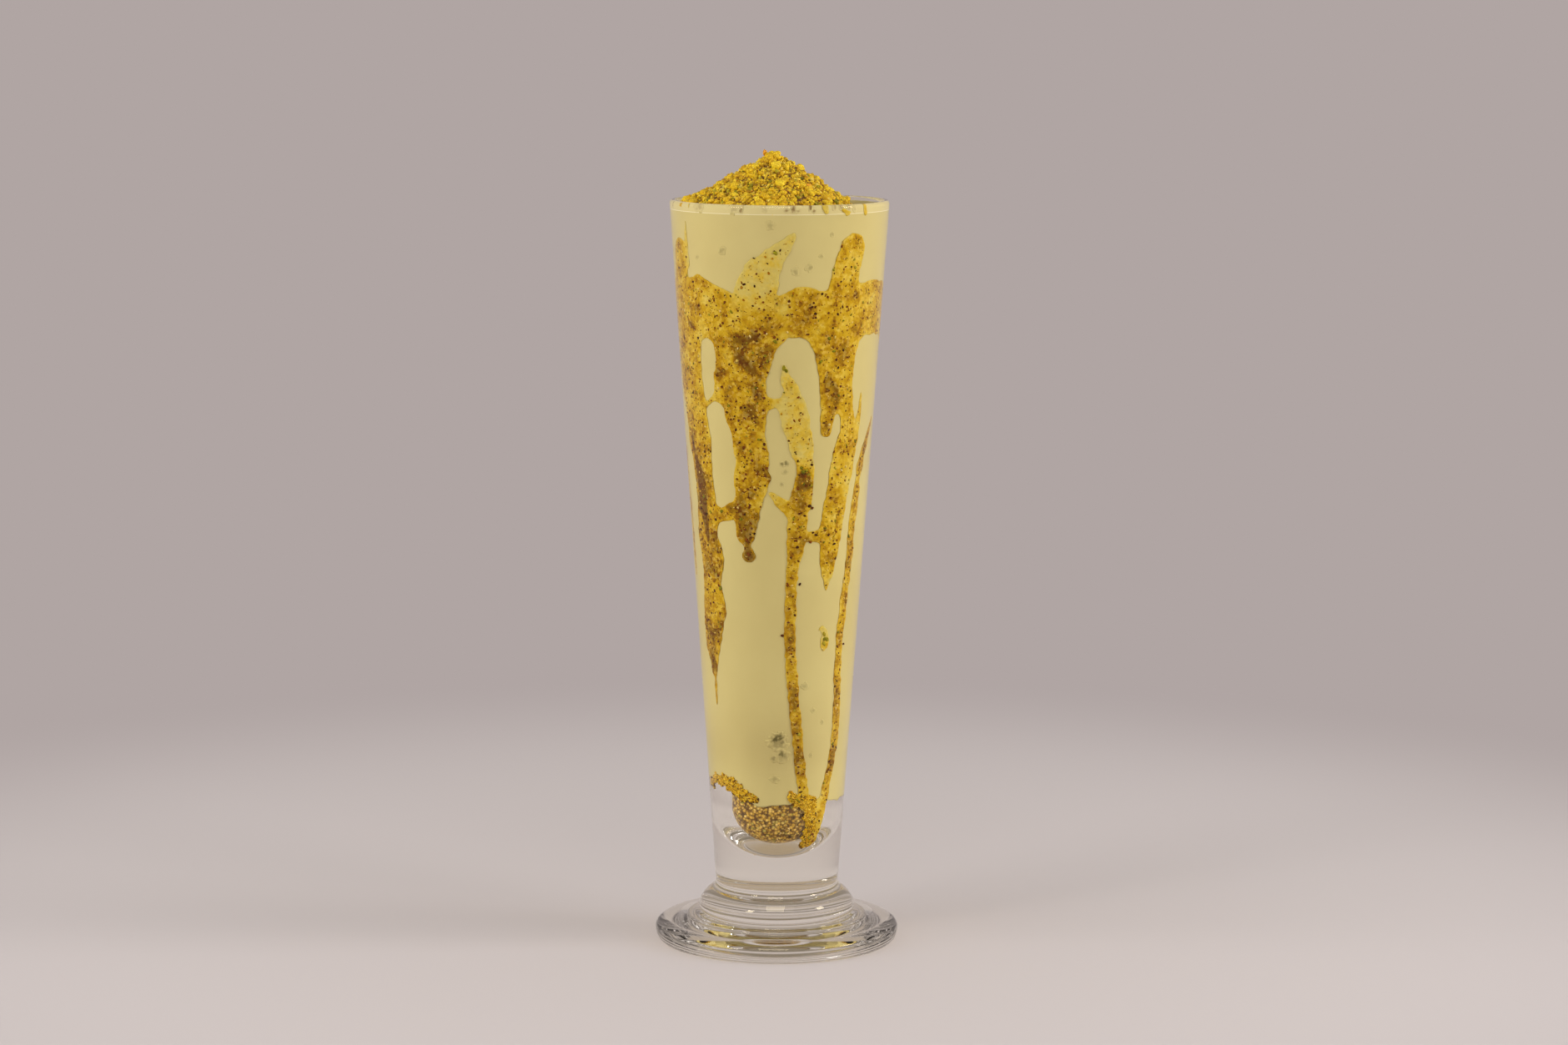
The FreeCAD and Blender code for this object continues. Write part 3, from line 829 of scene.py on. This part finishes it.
class LASSI_OT_nut_base(bpy.types.Operator):
    """Builds the ground pistachio at the bottom of the glass"""
    bl_idname = "lassi.nut_base"
    bl_label = "Build the ground pistachio below"

    gap = 0.2 * MM            # dry crumb leaves a little air, so the glass doesn't widen it
    hub = 0.3 * MM            # least radius of a row, where the rounded floor meets the axis
    relief = 0.35 * MM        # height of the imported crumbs
    crumb = 1.1               # and their size in mm

    def execute(self, context):
        glass, contents = shapes(context.scene)
        low = glass.floor_z + self.gap
        high = glass.floor_z + contents.nut_depth
        # rows are closer together low down, where the floor curves in
        rows = [low + (high - low) * (k / 36) ** 1.5 for k in range(1, 37)]
        points = [Vector((0, 0, low))]
        points += [Vector((max(self.hub, glass.inside(z) - self.gap), 0, z)) for z in rows]
        points += [Vector((x, 0, high)) for x in steps_between(points[-1].x, 0, 20)]
        bm = bmesh.new()
        spin_outline(bm, points, steps=180)
        for vert in bm.verts:
            x, y, z = vert.co
            dent = self.relief * (1 - 2 * crumbs(vert.co / MM, self.crumb))
            if z > high - HAIR:
                vert.co.z = nut_top(glass, contents, x, y) - dent
            else:
                vert.co -= Vector((x, y, min(0.0, z - glass.throat_z) * 0.8)).normalized() * dent
        stops = (
            (0.0, "#6A4A10"), (0.12, "#A07818"), (0.35, "#CEA638"), (0.65, "#E4BC50"), (0.85, "#F4D67C"),
            (1.0, "#A09A24"))
        material = ground_nut("ground_pistachio_dry", 0.85 * MM, stops)
        keep_piece(mesh_of(bm, "nut_base_core"), [material], ["nut_base"])
        return {"FINISHED"}


class LASSI_OT_base_grains(bpy.types.Operator):
    """Scatters dry crumbs against the wall at the bottom, and wet ones banked above them"""
    bl_idname = "lassi.base_grains"
    bl_label = "Scatter crumbs below"

    most = 3000               # crumbs of each kind
    tries = 40000             # places tried for the wet ones
    dry_in = 0.55 * MM        # how far in from the wall the dry ones lie
    round_floor = 14.0        # depth in mm under the throat over which the floor turns in
    wet_turns = (-105, 45)    # where wet ones can be: angles in degrees
    wet_heights = (31, 54)    # and heights in mm

    def execute(self, context):
        glass, contents = shapes(context.scene)
        rng = np.random.default_rng(23)
        self.dry(glass, contents, rng)
        self.wet(glass, contents, rng)
        return {"FINISHED"}

    def dry(self, glass, contents, rng):
        """Dry crumbs that lie against the wall, and against the rounded floor low down."""
        turn = rng.uniform(-180, 180, self.most)
        low = glass.floor_z / MM + 0.8
        high = (glass.floor_z + contents.nut_depth) / MM + 1.5
        height = low + (high - low) * rng.uniform(0, 1, self.most) ** 0.8
        places = on_wall(glass, turn, height, -self.dry_in)
        under = np.clip((glass.throat_z / MM - height) / self.round_floor, 0, 1) ** 2
        outward = places * (1, 1, 0) / np.linalg.norm(places[:, :2], axis=1)[:, None]
        normals = outward - under[:, None] * (0, 0, 1.4)
        lengths = grain_lengths(rng, self.most, 0.4, 1.15, 2)
        sizes = grain_sizes(rng, lengths, 0.6, lengths * 0.4)
        material = nut_flecks("pistachio_dry_crumbs", (
            (0.0, "#6A4A2C"), (0.13, "#A88440"), (0.3, "#DAB850"), (0.7, "#F4D67C"), (0.88, "#FBE8B0"),
            (1.0, "#A8A636")))
        mesh = grain_mesh("nut_base_grains", places, normals, sizes, rng, dent=0.3)
        keep_piece(mesh, [material])

    def wet(self, glass, contents, rng):
        """Wet crumbs in the banks against the wall, which end raggedly."""
        turn = rng.uniform(*self.wet_turns, self.tries)
        height = rng.uniform(*self.wet_heights, self.tries)
        radius = glass.inside_mm(height)
        outside = np.min([run_distance(turn, height, radius, run) for _, _, run in WET_RUNS], axis=0)
        # the wall laid out flat, at about its radius in mm there
        flat = np.column_stack([np.radians(turn) * 15, height, height * 0])
        keep = outside < 0.55 + 1.5 * uneven(flat, 1.7)
        turn, height = turn[keep][:self.most], height[keep][:self.most]
        places = on_wall(glass, turn, height, contents.sauce_in - 0.05 * MM)
        sizes = grain_sizes(rng, grain_lengths(rng, len(turn), 0.45, 1.35, 2), 0.6, 0.55)
        material = nut_flecks("pistachio_wet_crumbs", (
            (0.0, "#3E2200"), (0.16, "#845A00"), (0.28, "#CE9C06"), (0.65, "#EAC01C"), (0.9, "#F6D84C"),
            (1.0, "#8E8A00")))
        mesh = grain_mesh("wet_crumbs", places, places * (1, 1, 0), sizes, rng, dent=0.3)
        keep_piece(mesh, [material])


class LASSI_OT_heap(bpy.types.Operator):
    """Builds the heap of ground pistachio: a rough core under loose crumbs, greens and skins"""
    bl_idname = "lassi.heap"
    bl_label = "Build the heap"

    cell = 0.36 * MM          # spacing of the core's mesh
    clump, crumb = 3.4, 1.5   # sizes of the core's relief in mm
    fall = 0.3                # how much steeper the heap runs out at +X, as a slope
    fall_from = 12.0          # and from where, in mm
    # the grains stacked on the very top: place and size in mm
    peak = {
        "heap_clumps": ((-3.4, -1.6, 244.4), (4.0, 3.6, 3.4)),
        "heap_crumbs": ((-3.8, -1.8, 246.0), (2.4, 2.2, 2.2)),
        "heap_toasted": ((-4.6, -2.4, 247.3), (1.5, 1.3, 2.3)),
    }
    # kinds of grain: how many, least and greatest length in mm, thickness as a share of the
    # length, detail of the mesh, how dented, and the material's name and colours
    kinds = {
        "heap_clumps": (520, (1.5, 3.9), 0.75, 2, 0.22, "pistachio_kernel_clumps", (
            (0.0, "#D8AC08"), (0.35, "#ECC410"), (0.75, "#F6D82C"), (1.0, "#F2C620"))),
        "heap_crumbs": (5200, (0.7, 1.9), 0.8, 1, 0.3, "pistachio_kernel_crumbs", (
            (0.0, "#A07404"), (0.2, "#D4A60A"), (0.48, "#ECC414"), (0.85, "#F8D830"), (1.0, "#F9E26C"))),
        "heap_greens": (820, (0.7, 2.2), 0.7, 1, 0.25, "pistachio_green_bits", (
            (0.0, "#7C7600"), (0.5, "#A69A08"), (1.0, "#CCBC2C"))),
        "heap_skins": (500, (0.6, 1.7), 0.3, 1, 0.2, "pistachio_skin_flakes", (
            (0.0, "#4A2406"), (0.5, "#744006"), (1.0, "#9A5E14"))),
        "heap_toasted": (110, (0.8, 2.4), 0.7, 1, 0.25, "pistachio_toasted_bits", (
            (0.0, "#9C4E14"), (0.5, "#DA8C1A"), (1.0, "#F2AE2A"))),
    }

    def execute(self, context):
        glass, contents = shapes(context.scene)
        self.core(glass, contents)
        rng = np.random.default_rng(5)
        for name, (count, (small, big), flat, detail, dent, finish, stops) in self.kinds.items():
            places, normals = self.places(glass, contents, rng, count)
            lengths = grain_lengths(rng, count, small, big, 2)
            sizes = grain_sizes(rng, lengths, 0.6, lengths * flat)
            normals = normals + rng.normal(size=normals.shape) * 0.45
            places[:, 2] += rng.uniform(-0.2, 0.2, count) * lengths * MM
            if name in self.peak:
                where, sizes[0] = self.peak[name]
                places[0] = Vector(where) * MM
                normals[0] = (-0.2, -0.3, 1)
            mesh = grain_mesh(name, places, normals, sizes, rng, dent, detail)
            keep_piece(mesh, [nut_flecks(finish, stops, 0.3)])
        return {"FINISHED"}

    def surface(self, contents, x, y):
        """Height of the core at a place: the heap's own form with clumps and crumbs on it."""
        place = Vector((x / MM, y / MM, 0))
        relief = 1.7 * crumbs(place, self.clump) + 0.8 * crumbs(place, self.crumb) - 1.9
        relief -= self.fall * max(0.0, x / MM - self.fall_from)
        return heap_top(contents, x, y) + relief * MM

    def core(self, glass, contents):
        """A closed body under the grains: its uneven top, a skirt round that and a flat bottom."""
        half = glass.inside(LEVEL)
        count = int(2 * half / self.cell)
        bm = bmesh.new()
        bmesh.ops.create_grid(bm, x_segments=count, y_segments=count, size=half)
        outer = []
        for vert in bm.verts:
            vert.co.z = self.surface(contents, vert.co.x, vert.co.y)
            if math.hypot(vert.co.x, vert.co.y) > half - 0.3 * MM or vert.co.z < LEVEL - 0.5 * MM:
                outer.append(vert)
        bmesh.ops.delete(bm, geom=outer, context="VERTS")
        rim = [edge for edge in bm.edges if edge.is_boundary]
        skirt = bmesh.ops.extrude_edge_only(bm, edges=rim)["geom"]
        for vert in skirt:
            if isinstance(vert, bmesh.types.BMVert):
                vert.co.z = LEVEL - 1.5 * MM
        bmesh.ops.edgeloop_fill(bm, edges=[edge for edge in bm.edges if edge.is_boundary])
        bmesh.ops.recalc_face_normals(bm, faces=bm.faces)
        stops = (
            (0.0, "#6E4A00"), (0.2, "#B08402"), (0.45, "#D6A80A"), (0.7, "#EABE16"), (0.9, "#F6D236"),
            (1.0, "#948C0C"))
        material = ground_nut("ground_pistachio_heaped", 1.1 * MM, stops)
        keep_piece(mesh_of(bm, "nut_heap_core"), [material], ["nut_heap"])

    def places(self, glass, contents, rng, count):
        """Places spread evenly over the heap, with the directions that its slope faces."""
        limit = glass.inside(LEVEL) - 1.0 * MM
        found = []
        while len(found) < count:
            x, y = rng.uniform(-limit, limit, 2)
            z = self.surface(contents, x, y)
            if math.hypot(x, y) < limit and z > LEVEL - 0.4 * MM:
                found.append((x, y, z))
        places = np.array(found)
        out = places[:, :2] - (contents.heap_x, contents.heap_y)
        out /= np.linalg.norm(out, axis=1, keepdims=True)
        slope = contents.heap_height / contents.heap_spread
        return places, np.column_stack([out * slope, np.ones(count)])


class LASSI_OT_sunk(bpy.types.Operator):
    """Builds the bits and bubbles that show faintly through the lassi"""
    bl_idname = "lassi.sunk"
    bl_label = "Build bits sunk in the lassi"

    under_lip = 0.6 * MM      # a patch ends this far below the lip
    proud = 0.05 * MM         # how far it lies outside the lassi
    film = 0.03 * MM          # and how thick it is
    # angle in degrees, height and half width in mm, and how strongly each shows
    bits = (
        (-1.5, 67.2, 1.2, 0.95), (2.2, 67.9, 1.1, 0.9), (5.0, 66.4, 0.8, 0.6), (0.8, 66.0, 1.9, 0.4),
        (4.5, 62.2, 0.9, 0.75), (5.5, 61.6, 1.4, 0.3), (-3.5, 60.9, 0.7, 0.5), (-3, 54.0, 0.9, 0.35),
        (22, 84, 0.8, 0.3), (34, 61.5, 0.5, 0.3), (31, 76, 0.5, 0.3), (41, 72, 0.5, 0.3),
        (-5, 227, 0.9, 0.3), (-33, 219, 0.9, 0.35), (17, 214, 0.8, 0.35), (9, 213, 0.9, 0.35),
        (-52, 216.5, 0.5, 0.3), (30, 224, 0.5, 0.3), (24, 217.5, 0.5, 0.3), (2.5, 154, 0.6, 0.7),
        (5, 154.2, 0.6, 0.7), (4, 151.5, 0.6, 0.3), (2, 147.5, 0.5, 0.4), (46, 178.5, 0.5, 0.3),
        (-77, 231.4, 0.5, 0.5), (-50, 231.4, 0.8, 0.3), (-47, 231.4, 0.8, 0.35), (-25, 231.5, 1.0, 0.3),
        (-21, 231.4, 0.6, 0.7), (-8, 231.6, 0.5, 0.2), (4, 231.4, 0.6, 0.7), (7.5, 231.6, 0.6, 0.8),
        (10, 231.3, 0.5, 0.4), (16.5, 231.9, 0.5, 0.8), (18.5, 231.2, 0.5, 0.7), (31, 232, 0.6, 0.4),
        (35, 232.1, 0.6, 0.5), (40, 231.8, 0.6, 0.4), (44, 231.4, 0.6, 0.3), (168, 231.4, 0.7, 0.5),
        (96, 85, 1.2, 0.6), (152, 212, 1.0, 0.3), (-160, 88, 1.3, 0.7), (-100, 104, 1.0, 0.4),
        (120, 60, 1.1, 0.5), (-140, 66, 0.9, 0.5), (178, 120, 0.8, 0.4),
    )

    def execute(self, context):
        glass, contents = shapes(context.scene)
        bm = bmesh.new()
        for turn, height, half, strength in self.bits:
            patch = bmesh.ops.create_grid(bm, x_segments=16, y_segments=16, size=half * 2)["verts"]
            for vert in patch:
                z = min((height + vert.co.y) * MM, glass.height - self.under_lip)
                angle = math.radians(turn) + vert.co.x * MM / glass.inside(z)
                radius = glass.inside(z) + contents.wet + self.proud
                vert.co = (radius * math.sin(angle), -radius * math.cos(angle), z)
        bmesh.ops.remove_doubles(bm, verts=bm.verts, dist=0.001 * MM)
        layer = bm.verts.layers.float.new("shadow")
        for vert, dark in zip(bm.verts, self.shadows(glass, bm)):
            vert[layer] = dark
        plain = [face for face in bm.faces if max(vert[layer] for vert in face.verts) < 0.01]
        bmesh.ops.delete(bm, geom=plain, context="FACES")
        bmesh.ops.recalc_face_normals(bm, faces=bm.faces)
        for face in bm.faces:
            face.normal_update()
            middle = face.calc_center_median()
            if face.normal.x * middle.x + face.normal.y * middle.y < 0:
                face.normal_flip()
            if middle.z > LEVEL + FROTH:
                face.material_index = 1
        bmesh.ops.solidify(bm, geom=bm.faces[:], thickness=self.film)
        materials = [bpy.data.materials["whisked_yoghurt_" + part] for part in ("at_glass", "coat")]
        keep_piece(mesh_of(bm, "sunk_bits"), materials)
        return {"FINISHED"}

    def shadows(self, glass, bm):
        """How dark each point of the patches is: bits are soft spots with ragged edges."""
        places = np.array([vert.co for vert in bm.verts]) / MM
        turns = np.degrees(np.arctan2(places[:, 0], -places[:, 1]))
        heights = places[:, 2]
        radius = glass.inside_mm(heights)
        ragged = 0.8 * uneven(places, 0.9) + 0.4 * uneven(places, 0.4)
        shadow = np.zeros(len(turns))
        for turn, height, half, strength in self.bits:
            across = np.radians((turns - turn + 180) % 360 - 180) * radius
            inside = np.clip(1.45 - np.hypot(across, heights - height) / half + ragged, 0, 1)
            shadow = np.maximum(shadow, strength * inside ** 1.5)
        return shadow


class LASSI_OT_sauce(bpy.types.Operator):
    """Builds the film of pistachio sauce that was run down the inside of the wall"""
    bl_idname = "lassi.sauce"
    bl_label = "Build the sauce"

    columns, rows = 330, 300
    bottom, top = 30.0, 232.6     # heights in mm that the sauce lies between
    margin = 2.5              # what is further outside it than this in mm is dropped at once
    film = 0.1 * MM           # it lies on the lassi, so only its outside shows

    def execute(self, context):
        glass, contents = shapes(context.scene)
        bm = bmesh.new()
        bmesh.ops.create_grid(bm, x_segments=self.columns, y_segments=self.rows, size=1)
        flat = np.array([vert.co for vert in bm.verts])
        outside, depth = sauce_at(glass, flat[:, 0] * 180, self.height(flat[:, 1]))
        outside[outside == 0] = 1e-4
        depth_layer = bm.verts.layers.float.new("depth")
        away = bm.verts.layers.float.new("outside")
        for vert, deep, far in zip(bm.verts, depth, outside):
            vert[depth_layer] = deep
            vert[away] = far
        self.cut_out(bm, away)
        for vert in bm.verts:
            angle = math.pi * vert.co.x
            z = self.height(vert.co.y) * MM
            radius = glass.inside(z) + contents.sauce_in
            vert.co = (radius * math.sin(angle), -radius * math.cos(angle), z)
        bmesh.ops.remove_doubles(bm, verts=bm.verts, dist=0.02 * MM)
        bmesh.ops.recalc_face_normals(bm, faces=bm.faces)
        bmesh.ops.solidify(bm, geom=bm.faces[:], thickness=self.film)
        keep_piece(mesh_of(bm, "sauce_film"), [pistachio_sauce()])
        return {"FINISHED"}

    def height(self, y):
        """Height in mm of a place on the flat grid, which runs from -1 to 1."""
        return self.bottom + (y + 1) / 2 * (self.top - self.bottom)

    def cut_out(self, bm, away):
        """Cuts the grid where the distance outside the sauce is 0, and drops what is outside."""
        far = [vert for vert in bm.verts if vert[away] > self.margin]
        bmesh.ops.delete(bm, geom=far, context="VERTS")
        cut = {}
        for edge in bm.edges:
            first, second = (vert[away] for vert in edge.verts)
            if first * second < 0:
                cut[edge] = first / (first - second)
        made = bmesh.ops.bisect_edges(bm, edges=list(cut), cuts=1, edge_percents=cut)
        on_edge = [item for item in made["geom_split"] if isinstance(item, bmesh.types.BMVert)]
        for vert in on_edge:
            vert[away] = 0.0
        bmesh.ops.connect_verts(bm, verts=on_edge)
        outer = [face for face in bm.faces if sum(vert[away] for vert in face.verts) > 0]
        bmesh.ops.delete(bm, geom=outer, context="FACES")


class LASSI_OT_flecks(bpy.types.Operator):
    """Scatters bits of pistachio kernel and skin through the sauce"""
    bl_idname = "lassi.flecks"
    bl_label = "Scatter flecks in the sauce"

    batch = 12000             # places tried at a time
    heights = (32, 229)       # where flecks can be, in mm
    margin = 0.25             # least distance from the sauce's edge, in mm
    widest = 31.0             # inner radius in mm at which every place tried counts in full
    # kinds of fleck: how many, least and greatest length in mm, how many lie where the sauce is
    # thin, and the material's name and colours
    kinds = {
        "sauce_skins": (3400, (0.3, 1.15), 0.3, "pistachio_skin", (
            (0.0, "#361400"), (0.4, "#622C00"), (0.8, "#8A4A00"), (1.0, "#6A3826"))),
        "sauce_greens": (400, (0.5, 1.7), 0.2, "pistachio_green_kernel", (
            (0.0, "#6C6C00"), (0.5, "#8C8A10"), (1.0, "#B0A428"))),
        "sauce_kernels": (2600, (0.35, 1.2), 0.0, "pistachio_kernel", (
            (0.0, "#9C6400"), (0.3, "#BD8800"), (0.6, "#D9AE20"), (0.8, "#E8CC64"), (1.0, "#F0DC94"))),
    }
    # single bits that stand out: angle in degrees, height and length in mm
    standing = {
        "sauce_skins": (
            (21.5, 140.8, 1.3), (23.5, 140.1, 1.2), (27, 131.6, 1.4), (23, 129.5, 1.0), (3.5, 100.3, 1.1),
            (42.5, 128.3, 1.5), (16, 116.4, 1.0), (7, 116.2, 1.2), (-58, 117.5, 1.6), (-22, 130, 1.6),
            (-21, 125.6, 1.6), (-23.5, 133.5, 1.4), (-68, 158.5, 1.2), (-22.5, 158.8, 1.5), (10.5, 92, 0.9),
            (60, 96, 1.0), (57, 88, 1.1), (26, 49.8, 1.2), (21.5, 58, 1.0), (19.5, 64.5, 0.9),
            (17.5, 69, 1.1), (-14, 217, 0.9), (0.5, 219.5, 1.0), (-20, 209, 1.3)),
        "sauce_greens": (
            (16.2, 151.4, 1.5), (18.4, 151.8, 1.6), (20.4, 150.6, 1.4), (17, 147.6, 1.2), (22, 147.2, 1.2),
            (3, 183.6, 1.9), (4.6, 182.8, 1.3), (37.4, 100.2, 2.0), (38.9, 98.6, 2.1), (37.6, 97.2, 1.9),
            (10.5, 137, 1.5), (15.5, 134.5, 1.4), (24.5, 46.6, 1.8), (22.5, 47.4, 1.5)),
    }

    def execute(self, context):
        glass, contents = shapes(context.scene)
        rng = np.random.default_rng(11)
        for name, (count, (small, big), thin, finish, stops) in self.kinds.items():
            turn, height = self.places(glass, rng, count, thin)
            lengths = grain_lengths(rng, count, small, big, 3)
            own = np.array(self.standing.get(name, np.empty((0, 3))))
            turn[:len(own)], height[:len(own)], lengths[:len(own)] = own.T
            sizes = grain_sizes(rng, lengths, 0.5, 0.5)
            places = on_wall(glass, turn, height, contents.sauce_in)
            mesh = grain_mesh(name, places, places * (1, 1, 0), sizes, rng, dent=0.25)
            keep_piece(mesh, [nut_flecks(finish, stops)])
        return {"FINISHED"}

    def places(self, glass, rng, count, thin):
        """Angles and heights inside the sauce, more of them where it is thick."""
        turns, heights = [], []
        while sum(len(found) for found in turns) < count:
            turn = rng.uniform(-180, 180, self.batch)
            height = rng.uniform(*self.heights, self.batch)
            outside, depth = sauce_at(glass, turn, height)
            share = glass.inside_mm(height) / self.widest * (0.35 + thin + depth)
            keep = (outside < -self.margin) & (rng.uniform(0, 1, self.batch) < share)
            turns.append(turn[keep])
            heights.append(height[keep])
        return np.concatenate(turns)[:count], np.concatenate(heights)[:count]


class LASSI_OT_stage(bpy.types.Operator):
    """Builds the floor, the lamps, the world and the camera"""
    bl_idname = "lassi.stage"
    bl_label = "Build the stage"

    # where each lamp stands, the width of its square and its power in watts
    lamps = {
        "left": ((-1.05, -0.40, 0.34), 0.8, 11.0),
        "right": ((1.05, -0.35, 0.38), 0.8, 12.0),
        "above": ((0.0, -0.5, 1.2), 0.9, 1.6),
        "glint_left": ((-0.62, -0.55, 0.8), 0.18, 1.3),
        "glint_right": ((0.85, -0.1, 0.75), 0.18, 1.3),
        "glint_front": ((-0.03, -0.5, 1.0), 0.4, 2.2),
    }
    lamps_aim = (0, 0, 0.13)
    camera_at = (1.8 * MM, -1213.7 * MM, 300.6 * MM)
    camera_down = math.radians(7.9)
    camera_roll = math.radians(0.25)

    def execute(self, context):
        scene = context.scene
        colours = scene.lassi_colours
        bm = bmesh.new()
        bmesh.ops.create_circle(bm, cap_ends=True, radius=12, segments=96)
        bmesh.ops.translate(bm, verts=bm.verts, vec=(0, 0, -0.1 * MM))
        mesh = mesh_of(bm, "floor")
        floor = add_object("floor", mesh)
        mesh.materials.append(pale_plaster(colours))
        for name, (place, size, power) in self.lamps.items():
            self.lamp(name, place, size, power)
        self.world(scene, colours)
        self.camera(scene)
        scene.view_settings.view_transform = "Standard"
        # the thick foot passes light round many times and goes black if it stops too soon
        scene.cycles.max_bounces = 12
        scene.cycles.glossy_bounces = 8
        scene.cycles.transmission_bounces = 12
        return {"FINISHED"}

    def lamp(self, name, place, size, power):
        """A square lamp: big soft ones for the light, small ones for the highlights on glass."""
        lamp = bpy.data.lights.new("lamp_" + name, "AREA")
        lamp.size = size
        lamp.energy = power
        thing = add_object("lamp_" + name, lamp)
        thing.visible_glossy = name not in ("left", "right")
        thing.visible_transmission = name in ("glint_left", "glint_right")
        thing.visible_diffuse = name != "glint_front"
        thing.location = place
        aim = Vector(self.lamps_aim) - Vector(place)
        thing.rotation_euler = aim.to_track_quat("-Z", "Y").to_euler()

    def world(self, scene, colours):
        """Even light: the backdrop's colour to the eye and in gloss, the floor's through glass."""
        world = bpy.data.worlds.new("soft_daylight")
        scene.world = world
        world.use_nodes = True
        tree = world.node_tree
        tree.nodes.clear()
        light = node(tree, "ShaderNodeBackground", {"Color": "#FFFDFB", "Strength": 0.38})
        seen = node(tree, "ShaderNodeBackground", {"Color": (*colours.wall, 1.0), "Strength": 1.0})
        # glass sees a dimmer ceiling, which draws its edges
        sky = node(tree, "ShaderNodeTexCoord", {}).outputs["Generated"]
        height = node(tree, "ShaderNodeSeparateXYZ", {}, {"Vector": sky}).outputs["Z"]
        ceiling = node(tree, "ShaderNodeMapRange", {
            "interpolation_type": "SMOOTHSTEP", "From Min": 0.02, "From Max": 0.45}, {"Value": height})
        tone = node(tree, "ShaderNodeMix", {
            "data_type": "RGBA", "A_Color": (*colours.floor, 1.0), "B_Color": "#857B6E"},
            {"Factor_Float": ceiling.outputs[0]})
        through = node(tree, "ShaderNodeBackground", {"Strength": 1.0}, {"Color": tone.outputs[2]})
        path = node(tree, "ShaderNodeLightPath", {})
        direct = node(tree, "ShaderNodeMath", {"operation": "MAXIMUM"}, {
            "Value": path.outputs["Is Camera Ray"], "Value_001": path.outputs["Is Glossy Ray"]})
        plain = node(tree, "ShaderNodeMixShader", {}, {
            "Fac": direct.outputs[0], "Shader": light.outputs[0], "Shader_001": seen.outputs[0]})
        mixed = node(tree, "ShaderNodeMixShader", {}, {
            "Fac": path.outputs["Is Transmission Ray"], "Shader": plain.outputs[0],
            "Shader_001": through.outputs[0]})
        node(tree, "ShaderNodeOutputWorld", {}, {"Surface": mixed.outputs[0]})

    def camera(self, scene):
        """A short telephoto a little above the lip, looking down by under eight degrees."""
        lens = bpy.data.cameras.new("camera")
        lens.lens = 90
        lens.sensor_width = 36
        camera = add_object("camera", lens)
        camera.matrix_world = (
            Matrix.Translation(self.camera_at)
            @ Matrix.Rotation(math.pi / 2 - self.camera_down, 4, "X")
            @ Matrix.Rotation(self.camera_roll, 4, "Z")
        )
        scene.camera = camera


class LASSI_PT_panel(bpy.types.Panel):
    """Sizes, colours and building steps"""
    bl_label = "Lassi"
    bl_idname = "LASSI_PT_panel"
    bl_space_type = "VIEW_3D"
    bl_region_type = "UI"
    bl_category = "Lassi"

    def draw(self, context):
        for group in (context.scene.lassi_glass, context.scene.lassi_contents, context.scene.lassi_colours):
            box = self.layout.box()
            for name in group.__annotations__:
                box.prop(group, name)
        for operator in OPERATORS:
            self.layout.operator(operator.bl_idname)


GROUPS = (GlassSizes, ContentSizes, Colours)
OPERATORS = (
    LASSI_OT_stage, LASSI_OT_glass, LASSI_OT_drink, LASSI_OT_sunk, LASSI_OT_nut_base, LASSI_OT_base_grains,
    LASSI_OT_heap, LASSI_OT_sauce, LASSI_OT_flecks,
)


def register():
    for cls in GROUPS + OPERATORS + (LASSI_PT_panel,):
        bpy.utils.register_class(cls)
    bpy.types.Scene.lassi_glass = PointerProperty(type=GlassSizes)
    bpy.types.Scene.lassi_contents = PointerProperty(type=ContentSizes)
    bpy.types.Scene.lassi_colours = PointerProperty(type=Colours)


def unregister():
    del bpy.types.Scene.lassi_colours
    del bpy.types.Scene.lassi_contents
    del bpy.types.Scene.lassi_glass
    for cls in reversed(GROUPS + OPERATORS + (LASSI_PT_panel,)):
        bpy.utils.unregister_class(cls)


def main():
    register()
    bpy.ops.lassi.stage()
    bpy.ops.lassi.glass()
    bpy.ops.lassi.drink()
    bpy.ops.lassi.sunk()
    bpy.ops.lassi.nut_base()
    bpy.ops.lassi.base_grains()
    bpy.ops.lassi.heap()
    bpy.ops.lassi.sauce()
    bpy.ops.lassi.flecks()


if __name__ == "__main__":
    main()
